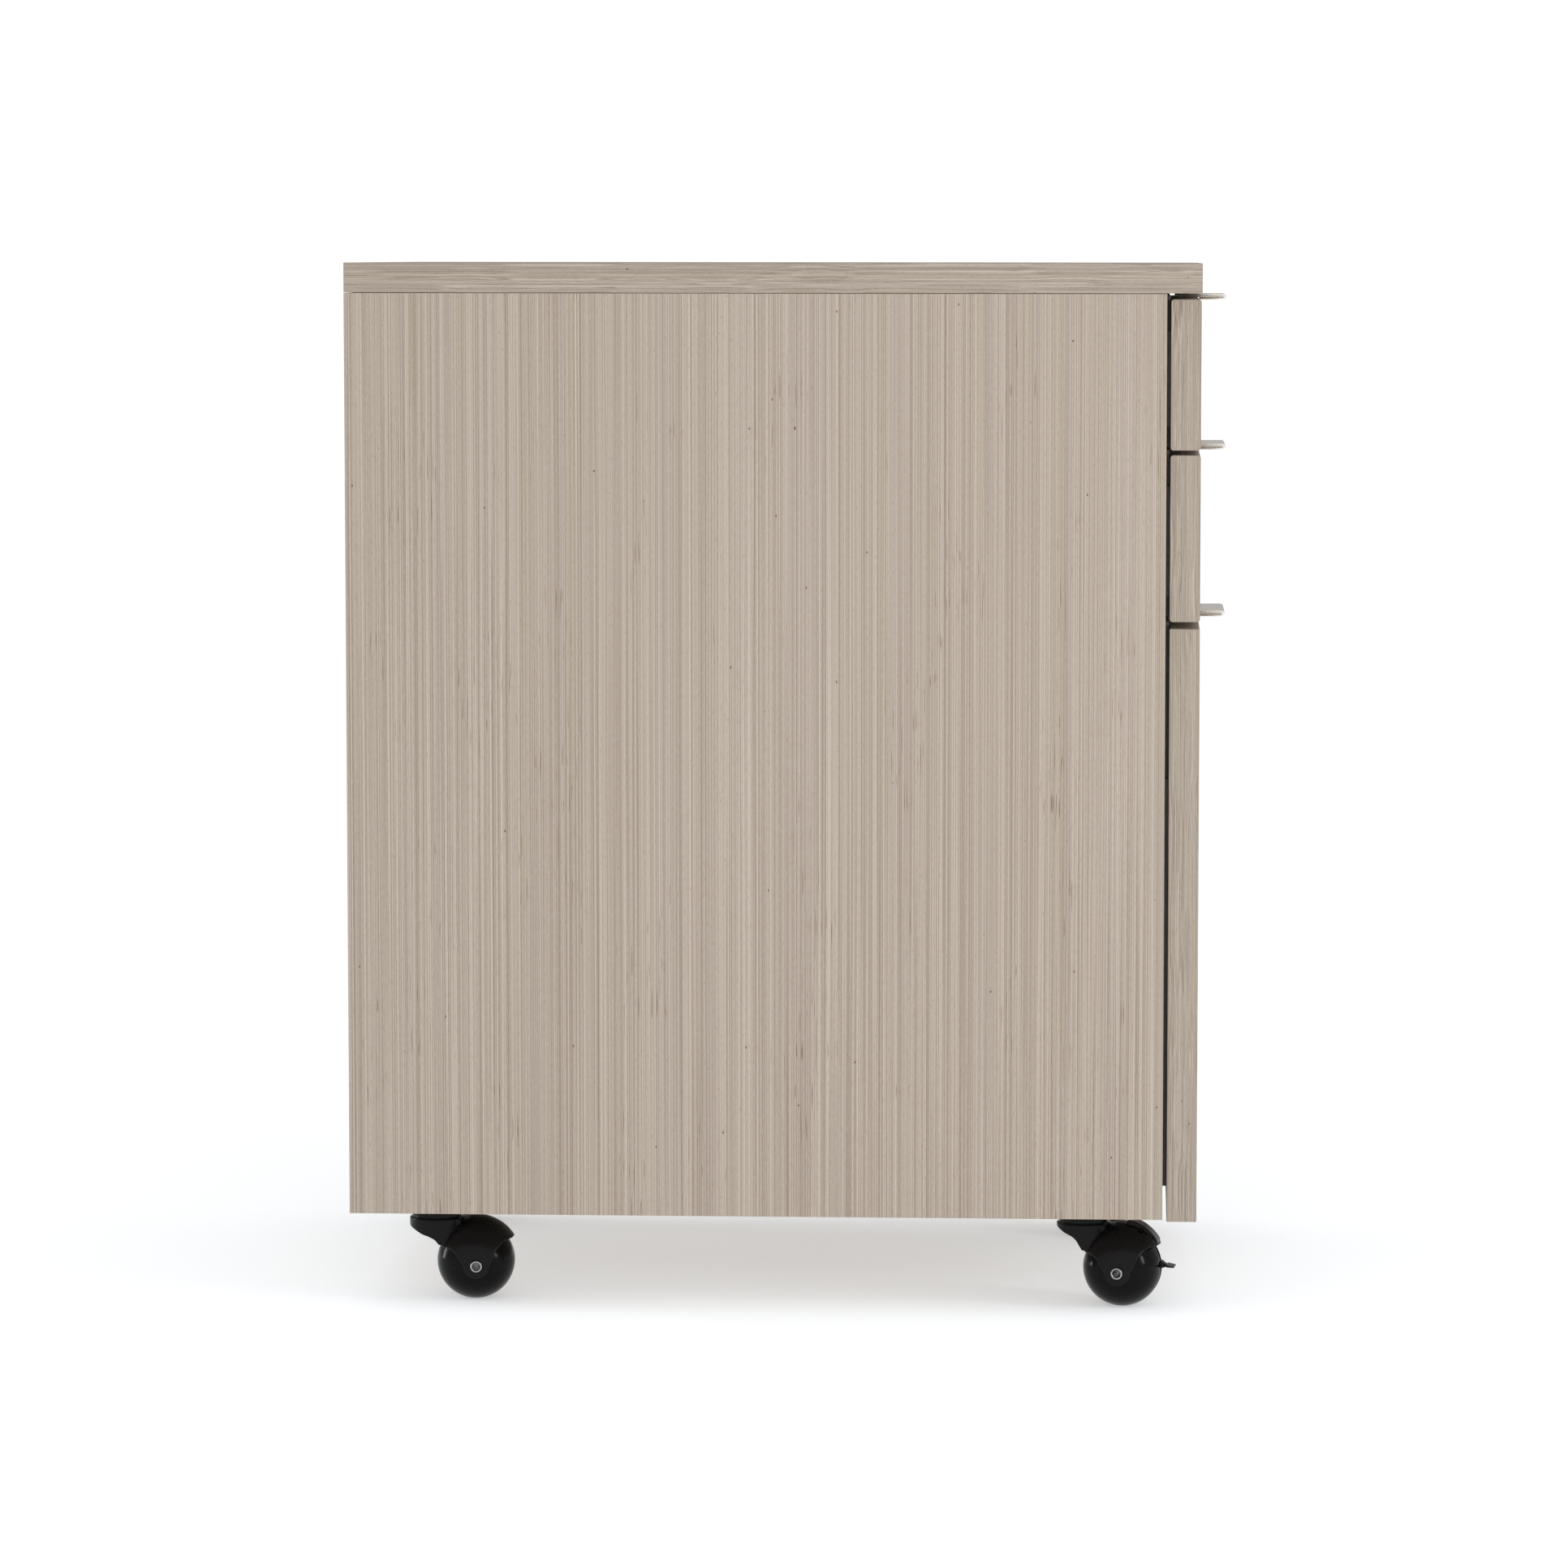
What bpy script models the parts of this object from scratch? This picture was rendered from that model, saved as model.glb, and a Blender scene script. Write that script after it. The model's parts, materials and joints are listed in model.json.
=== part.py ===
"""Rolling pedestal cabinet: a board carcass, two box drawers and a file drawer
on telescopic slides, and four hooded ball casters, the front pair with brakes.

Metres, +Z up, drawer fronts facing -Y, left at -X. The origin is on the floor
under the middle of the object's box.
"""

from math import acos, cos, hypot, pi, radians, sin

import bmesh
import bpy

# Air left between two pieces that touch.
SEAM = 0.0003

# Carcass.
WIDTH = 0.400
TOP_DEPTH = 0.538
BOARD = 0.019
BASE_BOARD = 0.016
SIDE_HEIGHT = 0.583
FLOOR_TO_CARCASS = 0.0625
EDGE_ROUND = 0.0006

# Fronts and pulls. A front stands REVEAL ahead of the side panels' edges.
REVEAL = 0.0025
FRONT_SETBACK = 0.0005
FRONT_WIDTH = 0.398
PULL_REACH = 0.0175
PULL_WIDTH = 0.080
PULL_PLATE = 0.0023
PULL_LIP = 0.0038
PULL_INSET = 0.0160
PULL_SCREW_SPACING = 0.052
PULL_SCREW_RADIUS = 0.0021
PULL_SCREW_HEAD = 0.0038

# Drawer boxes and their slides.
BOX_BOARD = 0.012
BOX_BOTTOM = 0.005
BOX_BOTTOM_LIFT = 0.008
BOX_GROOVE = 0.006
BOX_LENGTH = 0.450
SLIDE_SPACE = 0.013
SLIDE_LENGTH = 0.450
SLIDE_GAUGE = 0.0012
SLIDE_START = 0.002
RAIL_THICKNESS = 0.0025
RAIL_HEIGHT = 0.016
RAIL_STAND = 0.007

# One row per drawer, from the top: name, front height, gap above the front,
# front corner radius, box height, and how far the box and the box's own front
# board start above the drawer front's lower edge.
DRAWERS = (
    ("top", 0.0941, 0.0034, 0.0018, 0.060, 0.0140, 0.0010),
    ("middle", 0.1042, 0.0031, 0.0018, 0.070, 0.0140, 0.0010),
    ("file", 0.3750, 0.0045, 0.0008, 0.260, 0.0182, 0.0182),
)
# The box's front board closes the view past the drawer front's upper edge.
BOX_FRONT_RISE = 0.0022

# Casters. A wheel trails its swivel axis by TRAIL, towards the fronts.
BALL_RADIUS = 0.025
BALL_FLAT = 0.024
TRAIL = 0.025
CASTER_INSET = 0.050
AXLE_RADIUS = 0.0030
AXLE_HOLE = 0.0021
AXLE_RIM = 0.0038
AXLE_HALF_LENGTH = 0.0308
BORE_RADIUS = 0.0034
HOOD_OUTER = 0.0293
HOOD_INNER = 0.0265
BOSS_RADIUS = 0.0055
HORN_RADIUS = 0.0175
HORN_TOP = 0.058
HORN_LOW = 0.012
HORN_STEP = 0.0045
NECK_HALF = 0.012
NECK_FRONT = 0.010
PLATE_SIDE = 0.038
PLATE_THICKNESS = 0.0025
PLATE_HOLE_INSET = 0.0048
PLATE_HOLE_RADIUS = 0.0021
RACE_RADIUS = 0.014
RACE_BOTTOM = 0.0584
RACE_TAPER = 0.0010
KINGPIN_RADIUS = 0.004
KINGPIN_BOTTOM = 0.0495
KINGPIN_BORE_RADIUS = 0.0044
KINGPIN_BORE_BOTTOM = 0.048

# Brake of the front casters: a lever in a groove round the ball's middle.
GROOVE_HALF = 0.0034
GROOVE_FLOOR = 0.018
BRAKE_RADIUS = 0.0276
BRAKE_ANGLE = radians(62)
LEVER_HALF = 0.0027
LEVER_INNER = 0.0217
LEVER_OUTER = 0.0244
# The toe plate stays outside the ball when it is pressed.
TOE_START = 0.0287
TOE_TIP = 0.0338
TOE_LAP = 0.0010
TOE_TOP = 0.0022
TOE_UNDER = 0.0011
TOE_TIP_HEIGHT = 0.0013
TOE_TIP_THICKNESS = 0.0007
TOE_HALF = 0.0060
HUB_RADIUS = 0.0018
PIN_RADIUS = 0.0009
PIN_HALF_LENGTH = 0.0066
PIN_BORE_RADIUS = 0.0013
BRAKE_STROKE = radians(7.5)
SLOT_DEPTH = 0.0022
RIDGE_HALF = 0.0074
# The ridge over the lever, as (angle above ahead, radius) about the ball's centre.
RIDGE = ((84, 0.0307), (75, 0.0313), (65, 0.0310), (54, 0.0304), (44, 0.0299), (36, 0.0294))
# Angles on the arm, about the ball's centre: its top, and where its outer and
# inner curves end at the root of the toe; and half the angle its web spans.
LEVER_TOP = radians(67)
LEVER_OUTER_END = radians(11)
LEVER_INNER_END = radians(-4)
# The root's upper and lower corners, as (ahead of, above) the ball's centre.
ROOT_UPPER = ((0.0264, 0.0044), (0.0276, 0.0030))
ROOT_LOWER = ((0.0268, 0.0002),)
WEB_HALF = radians(3.2)
WEB_LAP = 0.0010

# Swivel angle of each caster at rest, about +Z.
CASTERS = (
    ("front_left", -1, -1, radians(-7)),
    ("front_right", 1, -1, radians(-75)),
    ("rear_left", -1, 1, radians(6)),
    ("rear_right", 1, 1, radians(135)),
)

# Derived planes.
TOTAL_DEPTH = TOP_DEPTH - FRONT_SETBACK + PULL_REACH
REAR_Y = TOTAL_DEPTH / 2
TOP_FRONT_Y = REAR_Y - TOP_DEPTH
FACE_Y = TOP_FRONT_Y + FRONT_SETBACK
FRONT_BACK_Y = FACE_Y + BOARD
SIDE_FRONT_Y = FRONT_BACK_Y + REVEAL
BOX_FRONT_Y = FRONT_BACK_Y + SEAM
BOX_INSIDE_Y = BOX_FRONT_Y + BOX_BOARD + SEAM
SLIDE_FRONT_Y = SIDE_FRONT_Y + SLIDE_START
CARCASS_TOP = FLOOR_TO_CARCASS + SIDE_HEIGHT
INNER_X = WIDTH / 2 - BOARD
BOX_X = INNER_X - SLIDE_SPACE


# Shapes ----------------------------------------------------------------------

def finished_mesh(bm, name):
    """A mesh of the bmesh, with every face pointing out."""
    bmesh.ops.recalc_face_normals(bm, faces=bm.faces)
    mesh = bpy.data.meshes.new(name)
    bm.to_mesh(mesh)
    bm.free()
    return mesh


def rounded(mesh, sharp_degrees=35):
    mesh.shade_smooth()
    mesh.set_sharp_from_angle(angle=radians(sharp_degrees))
    return mesh


def box(name, low, high):
    bm = bmesh.new()
    bmesh.ops.create_cube(bm, size=1.0)
    for vert in bm.verts:
        vert.co = [a + (b - a) * (c + 0.5) for a, b, c in zip(low, high, vert.co)]
    return finished_mesh(bm, name)


def prism(name, outline, start, end, axis="X"):
    """An outline in the YZ plane (axis X) or the XZ plane (axis Y), extruded."""
    bm = bmesh.new()
    rings = []
    for reach in (start, end):
        if axis == "X":
            rings.append([bm.verts.new((reach, a, b)) for a, b in outline])
        else:
            rings.append([bm.verts.new((a, reach, b)) for a, b in outline])
    first, last = rings
    for i in range(len(outline)):
        j = (i + 1) % len(outline)
        bm.faces.new((first[i], first[j], last[j], last[i]))
    bm.faces.new(first)
    bm.faces.new(last)
    return finished_mesh(bm, name)


def turned(name, profile, steps, axis="X"):
    """A closed profile of (along the axis, radius) points, turned about it."""
    bm = bmesh.new()
    rings = []
    for step in range(steps):
        angle = 2 * pi * step / steps
        ring = []
        for along, radius in profile:
            across = (radius * cos(angle), radius * sin(angle))
            place = (along, *across) if axis == "X" else (*across, along)
            ring.append(bm.verts.new(place))
        rings.append(ring)
    for step in range(steps):
        here, there = rings[step], rings[(step + 1) % steps]
        for i in range(len(profile)):
            j = (i + 1) % len(profile)
            bm.faces.new((here[i], here[j], there[j], there[i]))
    return finished_mesh(bm, name)


def cylinder(name, radius, start, end, steps, axis="X", radius_end=None):
    """A round bar, or a cone when radius_end differs."""
    bm = bmesh.new()
    rings = []
    ends = ((start, radius), (end, radius if radius_end is None else radius_end))
    for along, size in ends:
        ring = []
        for step in range(steps):
            angle = 2 * pi * step / steps
            across = (size * cos(angle), size * sin(angle))
            place = (along, *across) if axis == "X" else (*across, along)
            ring.append(bm.verts.new(place))
        rings.append(ring)
    for i in range(steps):
        j = (i + 1) % steps
        bm.faces.new((rings[0][i], rings[0][j], rings[1][j], rings[1][i]))
    bm.faces.new(rings[0])
    bm.faces.new(rings[1])
    return finished_mesh(bm, name)


def sphere(name, radius, steps):
    """A ball whose poles lie on the X axis."""
    bm = bmesh.new()
    bmesh.ops.create_uvsphere(bm, u_segments=steps, v_segments=steps // 2, radius=radius)
    for vert in bm.verts:
        vert.co = (vert.co.z, vert.co.y, -vert.co.x)
    return finished_mesh(bm, name)


def moved(mesh, x=0.0, y=0.0, z=0.0):
    for vert in mesh.vertices:
        vert.co += type(vert.co)((x, y, z))
    return mesh


def combined(base, tool, operation):
    """Base with tool cut away (DIFFERENCE) or joined to it (UNION)."""
    objects = [bpy.data.objects.new(mesh.name, mesh) for mesh in (base, tool)]
    for obj in objects:
        bpy.context.scene.collection.objects.link(obj)
    cut = objects[0].modifiers.new("cut", "BOOLEAN")
    cut.operation = operation
    cut.solver = "EXACT"
    cut.object = objects[1]
    depsgraph = bpy.context.evaluated_depsgraph_get()
    result = bpy.data.meshes.new_from_object(objects[0].evaluated_get(depsgraph))
    result.name = base.name
    for obj in objects:
        bpy.data.objects.remove(obj)
    return result


def arc(radius, start, end, steps, centre=(0.0, 0.0)):
    """Points of (ahead of centre, above centre) along an arc, ends included."""
    points = []
    for step in range(steps + 1):
        angle = start + (end - start) * step / steps
        points.append((centre[0] + radius * cos(angle), centre[1] + radius * sin(angle)))
    return points


def ahead(points):
    """Turns (ahead, up) points into (y, z): ahead is -Y."""
    return [(-forward, up) for forward, up in points]


def rounded_rectangle(y0, y1, z0, z1, radius, steps=3):
    quarter = pi / 2
    corners = ((y1, z1, 0), (y0, z1, 1), (y0, z0, 2), (y1, z0, 3))
    points = []
    for y, z, turn in corners:
        centre = (
            y - radius if y == y1 else y + radius,
            z - radius if z == z1 else z + radius,
        )
        points += arc(radius, turn * quarter, (turn + 1) * quarter, steps, centre)
    return points


# Objects ---------------------------------------------------------------------

def material(name, colour, roughness, metallic=0.0):
    result = bpy.data.materials.new(name)
    result.use_nodes = True
    shader = result.node_tree.nodes["Principled BSDF"]
    shader.inputs["Base Color"].default_value = (*colour, 1.0)
    shader.inputs["Roughness"].default_value = roughness
    shader.inputs["Metallic"].default_value = metallic
    result.diffuse_color = (*colour, 1.0)
    return result


def place(name, mesh, finish, location=(0.0, 0.0, 0.0), parent=None):
    if not mesh.materials:
        mesh.materials.append(finish)
    obj = bpy.data.objects.new(name, mesh)
    bpy.context.scene.collection.objects.link(obj)
    obj.location = location
    obj.parent = parent
    return obj


def place_board(name, low, high, finish, parent=None, edge=EDGE_ROUND):
    """A board between two corners of the world, its origin at its middle."""
    middle = [(a + b) / 2 for a, b in zip(low, high)]
    half = [(b - a) / 2 for a, b in zip(low, high)]
    mesh = box(name, [-h for h in half], half)
    offset = parent.location if parent else (0.0, 0.0, 0.0)
    local = [m - o for m, o in zip(middle, offset)]
    board = place(name, mesh, finish, local, parent)
    bevel = board.modifiers.new("eased_edges", "BEVEL")
    bevel.width = edge
    bevel.segments = 1
    return board


def empty(name, location, turn=0.0):
    result = bpy.data.objects.new(name, None)
    bpy.context.scene.collection.objects.link(result)
    result.location = location
    result.rotation_euler = (0.0, 0.0, turn)
    return result


# Carcass ---------------------------------------------------------------------

def make_carcass(laminate):
    half = WIDTH / 2
    place_board(
        "top_panel",
        (-half, TOP_FRONT_Y, CARCASS_TOP + SEAM),
        (half, REAR_Y, CARCASS_TOP + BOARD),
        laminate,
    )
    for name, side in (("left_side_panel", -1), ("right_side_panel", 1)):
        near, far = sorted((side * half, side * INNER_X))
        place_board(
            name,
            (near, SIDE_FRONT_Y, FLOOR_TO_CARCASS),
            (far, REAR_Y, CARCASS_TOP),
            laminate,
        )
    inside = INNER_X - SEAM
    back_face = REAR_Y - BOARD
    place_board(
        "back_panel",
        (-inside, back_face, FLOOR_TO_CARCASS),
        (inside, REAR_Y, CARCASS_TOP),
        laminate,
    )
    place_board(
        "bottom_panel",
        (-inside, SIDE_FRONT_Y, FLOOR_TO_CARCASS),
        (inside, back_face - SEAM, FLOOR_TO_CARCASS + BASE_BOARD),
        laminate,
    )


# Slides ----------------------------------------------------------------------

# Cross sections, as distances from the side panel's inner face: the outer face
# of the web, the tips of the flanges, and half the height. The cabinet member's
# web is beside the side panel, the drawer member's beside the drawer box.
FILE_SECTIONS = {
    "cabinet": (SEAM, 0.0095, 0.0225),
    "middle": (0.0026, 0.0106, 0.0186),
    "drawer": (SLIDE_SPACE - SEAM, 0.0046, 0.0147),
}
BOX_SECTIONS = {
    "cabinet": (SEAM, 0.0090, 0.0175),
    "drawer": (SLIDE_SPACE - SEAM, 0.0026, 0.0140),
}


def channel(name, section, side):
    """A C-shaped slide member along Y, open towards its flanges' tips."""
    web, tip, half = section
    inner_web = web + SLIDE_GAUGE if tip > web else web - SLIDE_GAUGE
    inner_half = half - SLIDE_GAUGE
    outline = (
        (web, -half), (tip, -half), (tip, -inner_half), (inner_web, -inner_half),
        (inner_web, inner_half), (tip, inner_half), (tip, half), (web, half),
    )
    across = [(side * (INNER_X - distance), height) for distance, height in outline]
    return prism(name, across, 0.0, SLIDE_LENGTH, axis="Y")


def make_slides(drawer, sections, height, steel, carriages):
    """Every member of one drawer's two slides. carriages: member to parent."""
    for side_name, side in (("left", -1), ("right", 1)):
        for member, section in sections.items():
            name = f"{drawer}_{member}_slide_{side_name}"
            parent = carriages.get(f"{member}_{side_name}", carriages.get(member))
            offset = parent.location if parent else (0.0, 0.0, 0.0)
            local = (-offset[0], SLIDE_FRONT_Y - offset[1], height - offset[2])
            place(name, channel(name, section, side), steel, local, parent)


# Drawers ---------------------------------------------------------------------

def pull_mesh(name):
    """A folded plate: thin over the front's edge, hemmed where it projects."""
    top = SEAM + PULL_PLATE
    lip_radius = PULL_LIP / 2
    nose = arc(lip_radius, pi / 2, -pi / 2, 6, (PULL_REACH - lip_radius, top - lip_radius))
    outline = [(-PULL_INSET, SEAM), (-PULL_INSET, top)]
    outline += nose
    outline += [(SEAM, top - PULL_LIP), (SEAM, SEAM)]
    mesh = prism(name, ahead(outline), -PULL_WIDTH / 2, PULL_WIDTH / 2)
    for side in (-1, 1):
        reach = side * PULL_SCREW_SPACING / 2
        hole = cylinder("hole", PULL_SCREW_RADIUS, -SEAM, top + SEAM, 12, axis="Z")
        mesh = combined(mesh, moved(hole, x=reach, y=BOARD / 2), "DIFFERENCE")
        sink_depth = PULL_SCREW_HEAD - PULL_SCREW_RADIUS
        sink = cylinder(
            "countersink", PULL_SCREW_RADIUS, top - sink_depth, top + SEAM, 12,
            axis="Z", radius_end=PULL_SCREW_HEAD + SEAM,
        )
        mesh = combined(mesh, moved(sink, x=reach, y=BOARD / 2), "DIFFERENCE")
    return rounded(mesh)


def box_side_mesh(name, side, height):
    """A drawer's side board, grooved on its inner face for the bottom."""
    outer = side * BOX_X
    inner = side * (BOX_X - BOX_BOARD)
    groove = inner + side * BOX_GROOVE
    low = BOX_BOTTOM_LIFT - SEAM
    high = BOX_BOTTOM_LIFT + BOX_BOTTOM + SEAM
    outline = (
        (outer, 0.0), (inner, 0.0), (inner, low), (groove, low),
        (groove, high), (inner, high), (inner, height), (outer, height),
    )
    return prism(name, outline, 0.0, BOX_LENGTH, axis="Y")


def make_drawer(row, front_top, finishes):
    drawer, front_height, _, corner, box_height, box_lift, box_front_lift = row
    front_bottom = front_top - front_height
    box_bottom = front_bottom + box_lift
    carriage = empty(f"{drawer}_drawer_carriage", (0.0, FACE_Y, front_bottom))

    name = f"{drawer}_drawer_front"
    outline = rounded_rectangle(0.0, BOARD, 0.0, front_height, corner)
    front = prism(name, outline, -FRONT_WIDTH / 2, FRONT_WIDTH / 2)
    place(name, rounded(front), finishes["laminate"], parent=carriage)

    name = f"{drawer}_drawer_pull"
    place(name, pull_mesh(name), finishes["pull"], (0.0, 0.0, front_height), carriage)

    start = (0.0, BOX_FRONT_Y - FACE_Y, box_lift)
    for side_name, side in (("left", -1), ("right", 1)):
        name = f"{drawer}_drawer_{side_name}_side"
        mesh = box_side_mesh(name, side, box_height)
        place(name, mesh, finishes["box"], start, carriage)

    inner = BOX_X - BOX_BOARD
    rear = BOX_FRONT_Y + BOX_LENGTH
    bottom_top = box_bottom + BOX_BOTTOM_LIFT + BOX_BOTTOM
    bottom_half = inner + BOX_GROOVE - SEAM
    place_board(
        f"{drawer}_drawer_box_front",
        (SEAM - inner, BOX_FRONT_Y, front_bottom + box_front_lift),
        (inner - SEAM, BOX_INSIDE_Y - SEAM, front_top + BOX_FRONT_RISE),
        finishes["box"], carriage,
    )
    place_board(
        f"{drawer}_drawer_bottom",
        (-bottom_half, BOX_INSIDE_Y, bottom_top - BOX_BOTTOM),
        (bottom_half, rear, bottom_top),
        finishes["box"], carriage, edge=SEAM,
    )
    place_board(
        f"{drawer}_drawer_back",
        (SEAM - inner, rear - BOX_BOARD, bottom_top + SEAM),
        (inner - SEAM, rear, box_bottom + box_height),
        finishes["box"], carriage,
    )
    return carriage, box_bottom


def make_hanging_rails(carriage, box_bottom, steel):
    """Flat bars on the file drawer's inner sides, which hanging files hook on."""
    box_height = DRAWERS[-1][4]
    inner = BOX_X - BOX_BOARD - SEAM
    top = box_bottom + box_height + RAIL_STAND
    rear = BOX_FRONT_Y + BOX_LENGTH - BOX_BOARD - SEAM
    for side_name, side in (("left", -1), ("right", 1)):
        near, far = sorted((side * inner, side * (inner - RAIL_THICKNESS)))
        place_board(
            f"file_hanging_rail_{side_name}",
            (near, BOX_INSIDE_Y, top - RAIL_HEIGHT),
            (far, rear, top),
            steel, carriage, edge=SEAM,
        )


def make_drawers(finishes):
    front_top = CARCASS_TOP
    for row in DRAWERS:
        drawer, front_height, gap, _, box_height, _, _ = row
        front_top -= gap
        carriage, box_bottom = make_drawer(row, front_top, finishes)
        carriages = {"drawer": carriage}
        slide_height = box_bottom + box_height / 2
        sections = BOX_SECTIONS
        if drawer == "file":
            sections = FILE_SECTIONS
            slide_height = box_bottom + box_height / 4
            for side_name in ("left", "right"):
                runner = empty(f"file_middle_runner_{side_name}", carriage.location)
                carriages[f"middle_{side_name}"] = runner
            make_hanging_rails(carriage, box_bottom, finishes["steel"])
        make_slides(drawer, sections, slide_height, finishes["steel"], carriages)
        front_top -= front_height


# Casters ---------------------------------------------------------------------

# The hood's lower edge, as (ahead of, above) the ball's centre: under the horn,
# down to the lug that carries the axle, and up again to the visor's tip ahead.
HORN_UNDERSIDE = (
    (-0.060, 0.0230), (-0.043, 0.0230), (-0.035, 0.0188), (-0.026, 0.0150),
)
BRAKED_HORN_UNDERSIDE = (
    (-0.060, 0.0262), (-0.043, 0.0262), (-0.036, 0.0228), (-0.030, 0.0204), (-0.0262, 0.0158),
)
LUG_REAR = (
    (-0.0232, 0.0108), (-0.0185, 0.0106), (-0.0142, 0.0084), (-0.0118, 0.0048),
)
VISOR_EDGE = (
    (0.0104, 0.0034), (0.0115, 0.0068), (0.0136, 0.0104), (0.0164, 0.0132),
    (0.0190, 0.0146), (0.0243, 0.0152), (0.060, 0.0160),
)
LUG_RADIUS = 0.0082
LUG_STEPS = 8
CUT_DEPTH = 0.040


def horn_mesh():
    """The disc under the swivel race and the neck that carries it."""
    top = HORN_TOP - BALL_RADIUS
    step = top - HORN_STEP
    disc = cylinder("horn", HORN_RADIUS, HORN_LOW, step, 24, axis="Z")
    race_seat = cylinder("race_seat", HORN_RADIUS - HORN_STEP / 3, step - SEAM, top, 24, axis="Z")
    horn = moved(combined(disc, race_seat, "UNION"), y=TRAIL)
    neck = box("neck", (-NECK_HALF, NECK_FRONT, HORN_LOW / 2), (NECK_HALF, TRAIL, step - SEAM))
    return combined(horn, neck, "UNION")


def hood_mesh(braked):
    """The hood about the swivel axis, floor at 0 and the ball ahead of it."""
    steps = 24
    body = sphere("hood", HOOD_OUTER, steps)
    body = combined(body, horn_mesh(), "UNION")
    boss = cylinder("boss", BOSS_RADIUS, -HOOD_OUTER, HOOD_OUTER, 16)
    body = combined(body, boss, "UNION")
    if braked:
        ridge = [(radius * cos(radians(at)), radius * sin(radians(at))) for at, radius in RIDGE]
        ridge += arc(HOOD_INNER, radians(RIDGE[-1][0]), radians(RIDGE[0][0]), 4)
        body = combined(body, prism("ridge", ahead(ridge), -RIDGE_HALF, RIDGE_HALF), "UNION")
    body = combined(body, sphere("hollow", HOOD_INNER, steps), "DIFFERENCE")

    edge = list(BRAKED_HORN_UNDERSIDE if braked else HORN_UNDERSIDE)
    edge += LUG_REAR
    edge += arc(LUG_RADIUS, pi, 2 * pi, LUG_STEPS)
    edge += VISOR_EDGE
    edge += [(0.060, -CUT_DEPTH), (-0.060, -CUT_DEPTH)]
    below = prism("below", ahead(edge), -CUT_DEPTH, CUT_DEPTH)
    body = combined(body, below, "DIFFERENCE")

    bore = cylinder("axle_bore", BORE_RADIUS, -CUT_DEPTH, CUT_DEPTH, 16)
    body = combined(body, bore, "DIFFERENCE")
    bore_bottom = KINGPIN_BORE_BOTTOM - BALL_RADIUS
    socket = cylinder("socket", KINGPIN_BORE_RADIUS, bore_bottom, CUT_DEPTH, 16, axis="Z")
    body = combined(body, moved(socket, y=TRAIL), "DIFFERENCE")
    if braked:
        upper, lower = BRAKE_ANGLE + BRAKE_STROKE, BRAKE_ANGLE - BRAKE_STROKE
        slot = arc(BRAKE_RADIUS + SLOT_DEPTH, upper, lower, 4)
        slot += arc(HOOD_INNER - SLOT_DEPTH, lower, upper, 4)
        half = LEVER_HALF + 2 * SEAM
        body = combined(body, prism("slot", ahead(slot), -half, half), "DIFFERENCE")
        pin_bore = cylinder("pin_bore", PIN_BORE_RADIUS, -CUT_DEPTH, CUT_DEPTH, 12)
        forward, up = brake_pivot()
        body = combined(body, moved(pin_bore, y=-forward, z=up), "DIFFERENCE")
    return rounded(moved(body, y=-TRAIL, z=BALL_RADIUS))


def ball_mesh(grooved):
    """The ball about its own centre, bored along X. A brake groove leaves two
    shoulders of the ball's radius."""
    middle = GROOVE_HALF if grooved else 0.0
    radius = hypot(BALL_RADIUS, middle)
    half = [(GROOVE_HALF, GROOVE_FLOOR)] if grooved else []
    half += arc(radius, acos(middle / radius), acos(BALL_FLAT / radius), 7)
    half.append((BALL_FLAT, BORE_RADIUS))
    mirrored = [(-along, across) for along, across in reversed(half)]
    if not grooved:
        mirrored.pop()
    return rounded(turned("ball", mirrored + half, 24))


def axle_mesh():
    """A hollow rivet along X with a flared rim at each end."""
    rim_start = AXLE_HALF_LENGTH - 0.0009
    half = [
        (AXLE_HALF_LENGTH, AXLE_HOLE), (AXLE_HALF_LENGTH, AXLE_RIM - 0.0006),
        (rim_start + 0.0004, AXLE_RIM), (rim_start, AXLE_RIM), (rim_start, AXLE_RADIUS),
    ]
    mirrored = [(-along, radius) for along, radius in reversed(half)]
    return rounded(turned("axle", half + mirrored, 16))


def plate_mesh():
    """Mounting plate, raceway and kingpin about the swivel axis."""
    top = FLOOR_TO_CARCASS - SEAM
    under = top - PLATE_THICKNESS
    half = PLATE_SIDE / 2
    plate = box("caster_plate", (-half, -half, under), (half, half, top))
    race = turned_stack((
        (top - SEAM, RACE_RADIUS - 2 * RACE_TAPER), (under - RACE_TAPER, RACE_RADIUS),
        (RACE_BOTTOM, RACE_RADIUS - RACE_TAPER), (RACE_BOTTOM, KINGPIN_RADIUS),
        (KINGPIN_BOTTOM, KINGPIN_RADIUS),
    ))
    plate = combined(plate, race, "UNION")
    hole_place = half - PLATE_HOLE_INSET
    for x in (-hole_place, hole_place):
        for y in (-hole_place, hole_place):
            hole = cylinder("hole", PLATE_HOLE_RADIUS, RACE_BOTTOM, top + SEAM, 10, axis="Z")
            plate = combined(plate, moved(hole, x=x, y=y), "DIFFERENCE")
    return rounded(plate)


def turned_stack(levels):
    """A solid turned about Z from (height, radius) levels, top to bottom."""
    bm = bmesh.new()
    steps = 24
    rings = []
    for height, radius in levels:
        ring = []
        for step in range(steps):
            angle = 2 * pi * step / steps
            ring.append(bm.verts.new((radius * cos(angle), radius * sin(angle), height)))
        rings.append(ring)
    for upper, lower in zip(rings, rings[1:]):
        for i in range(steps):
            j = (i + 1) % steps
            bm.faces.new((upper[i], upper[j], lower[j], lower[i]))
    bm.faces.new(rings[0])
    bm.faces.new(rings[-1])
    return finished_mesh(bm, "stack")


def brake_pivot():
    """The brake pivot's (ahead, up) place from the ball's centre."""
    return BRAKE_RADIUS * cos(BRAKE_ANGLE), BRAKE_RADIUS * sin(BRAKE_ANGLE)


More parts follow.
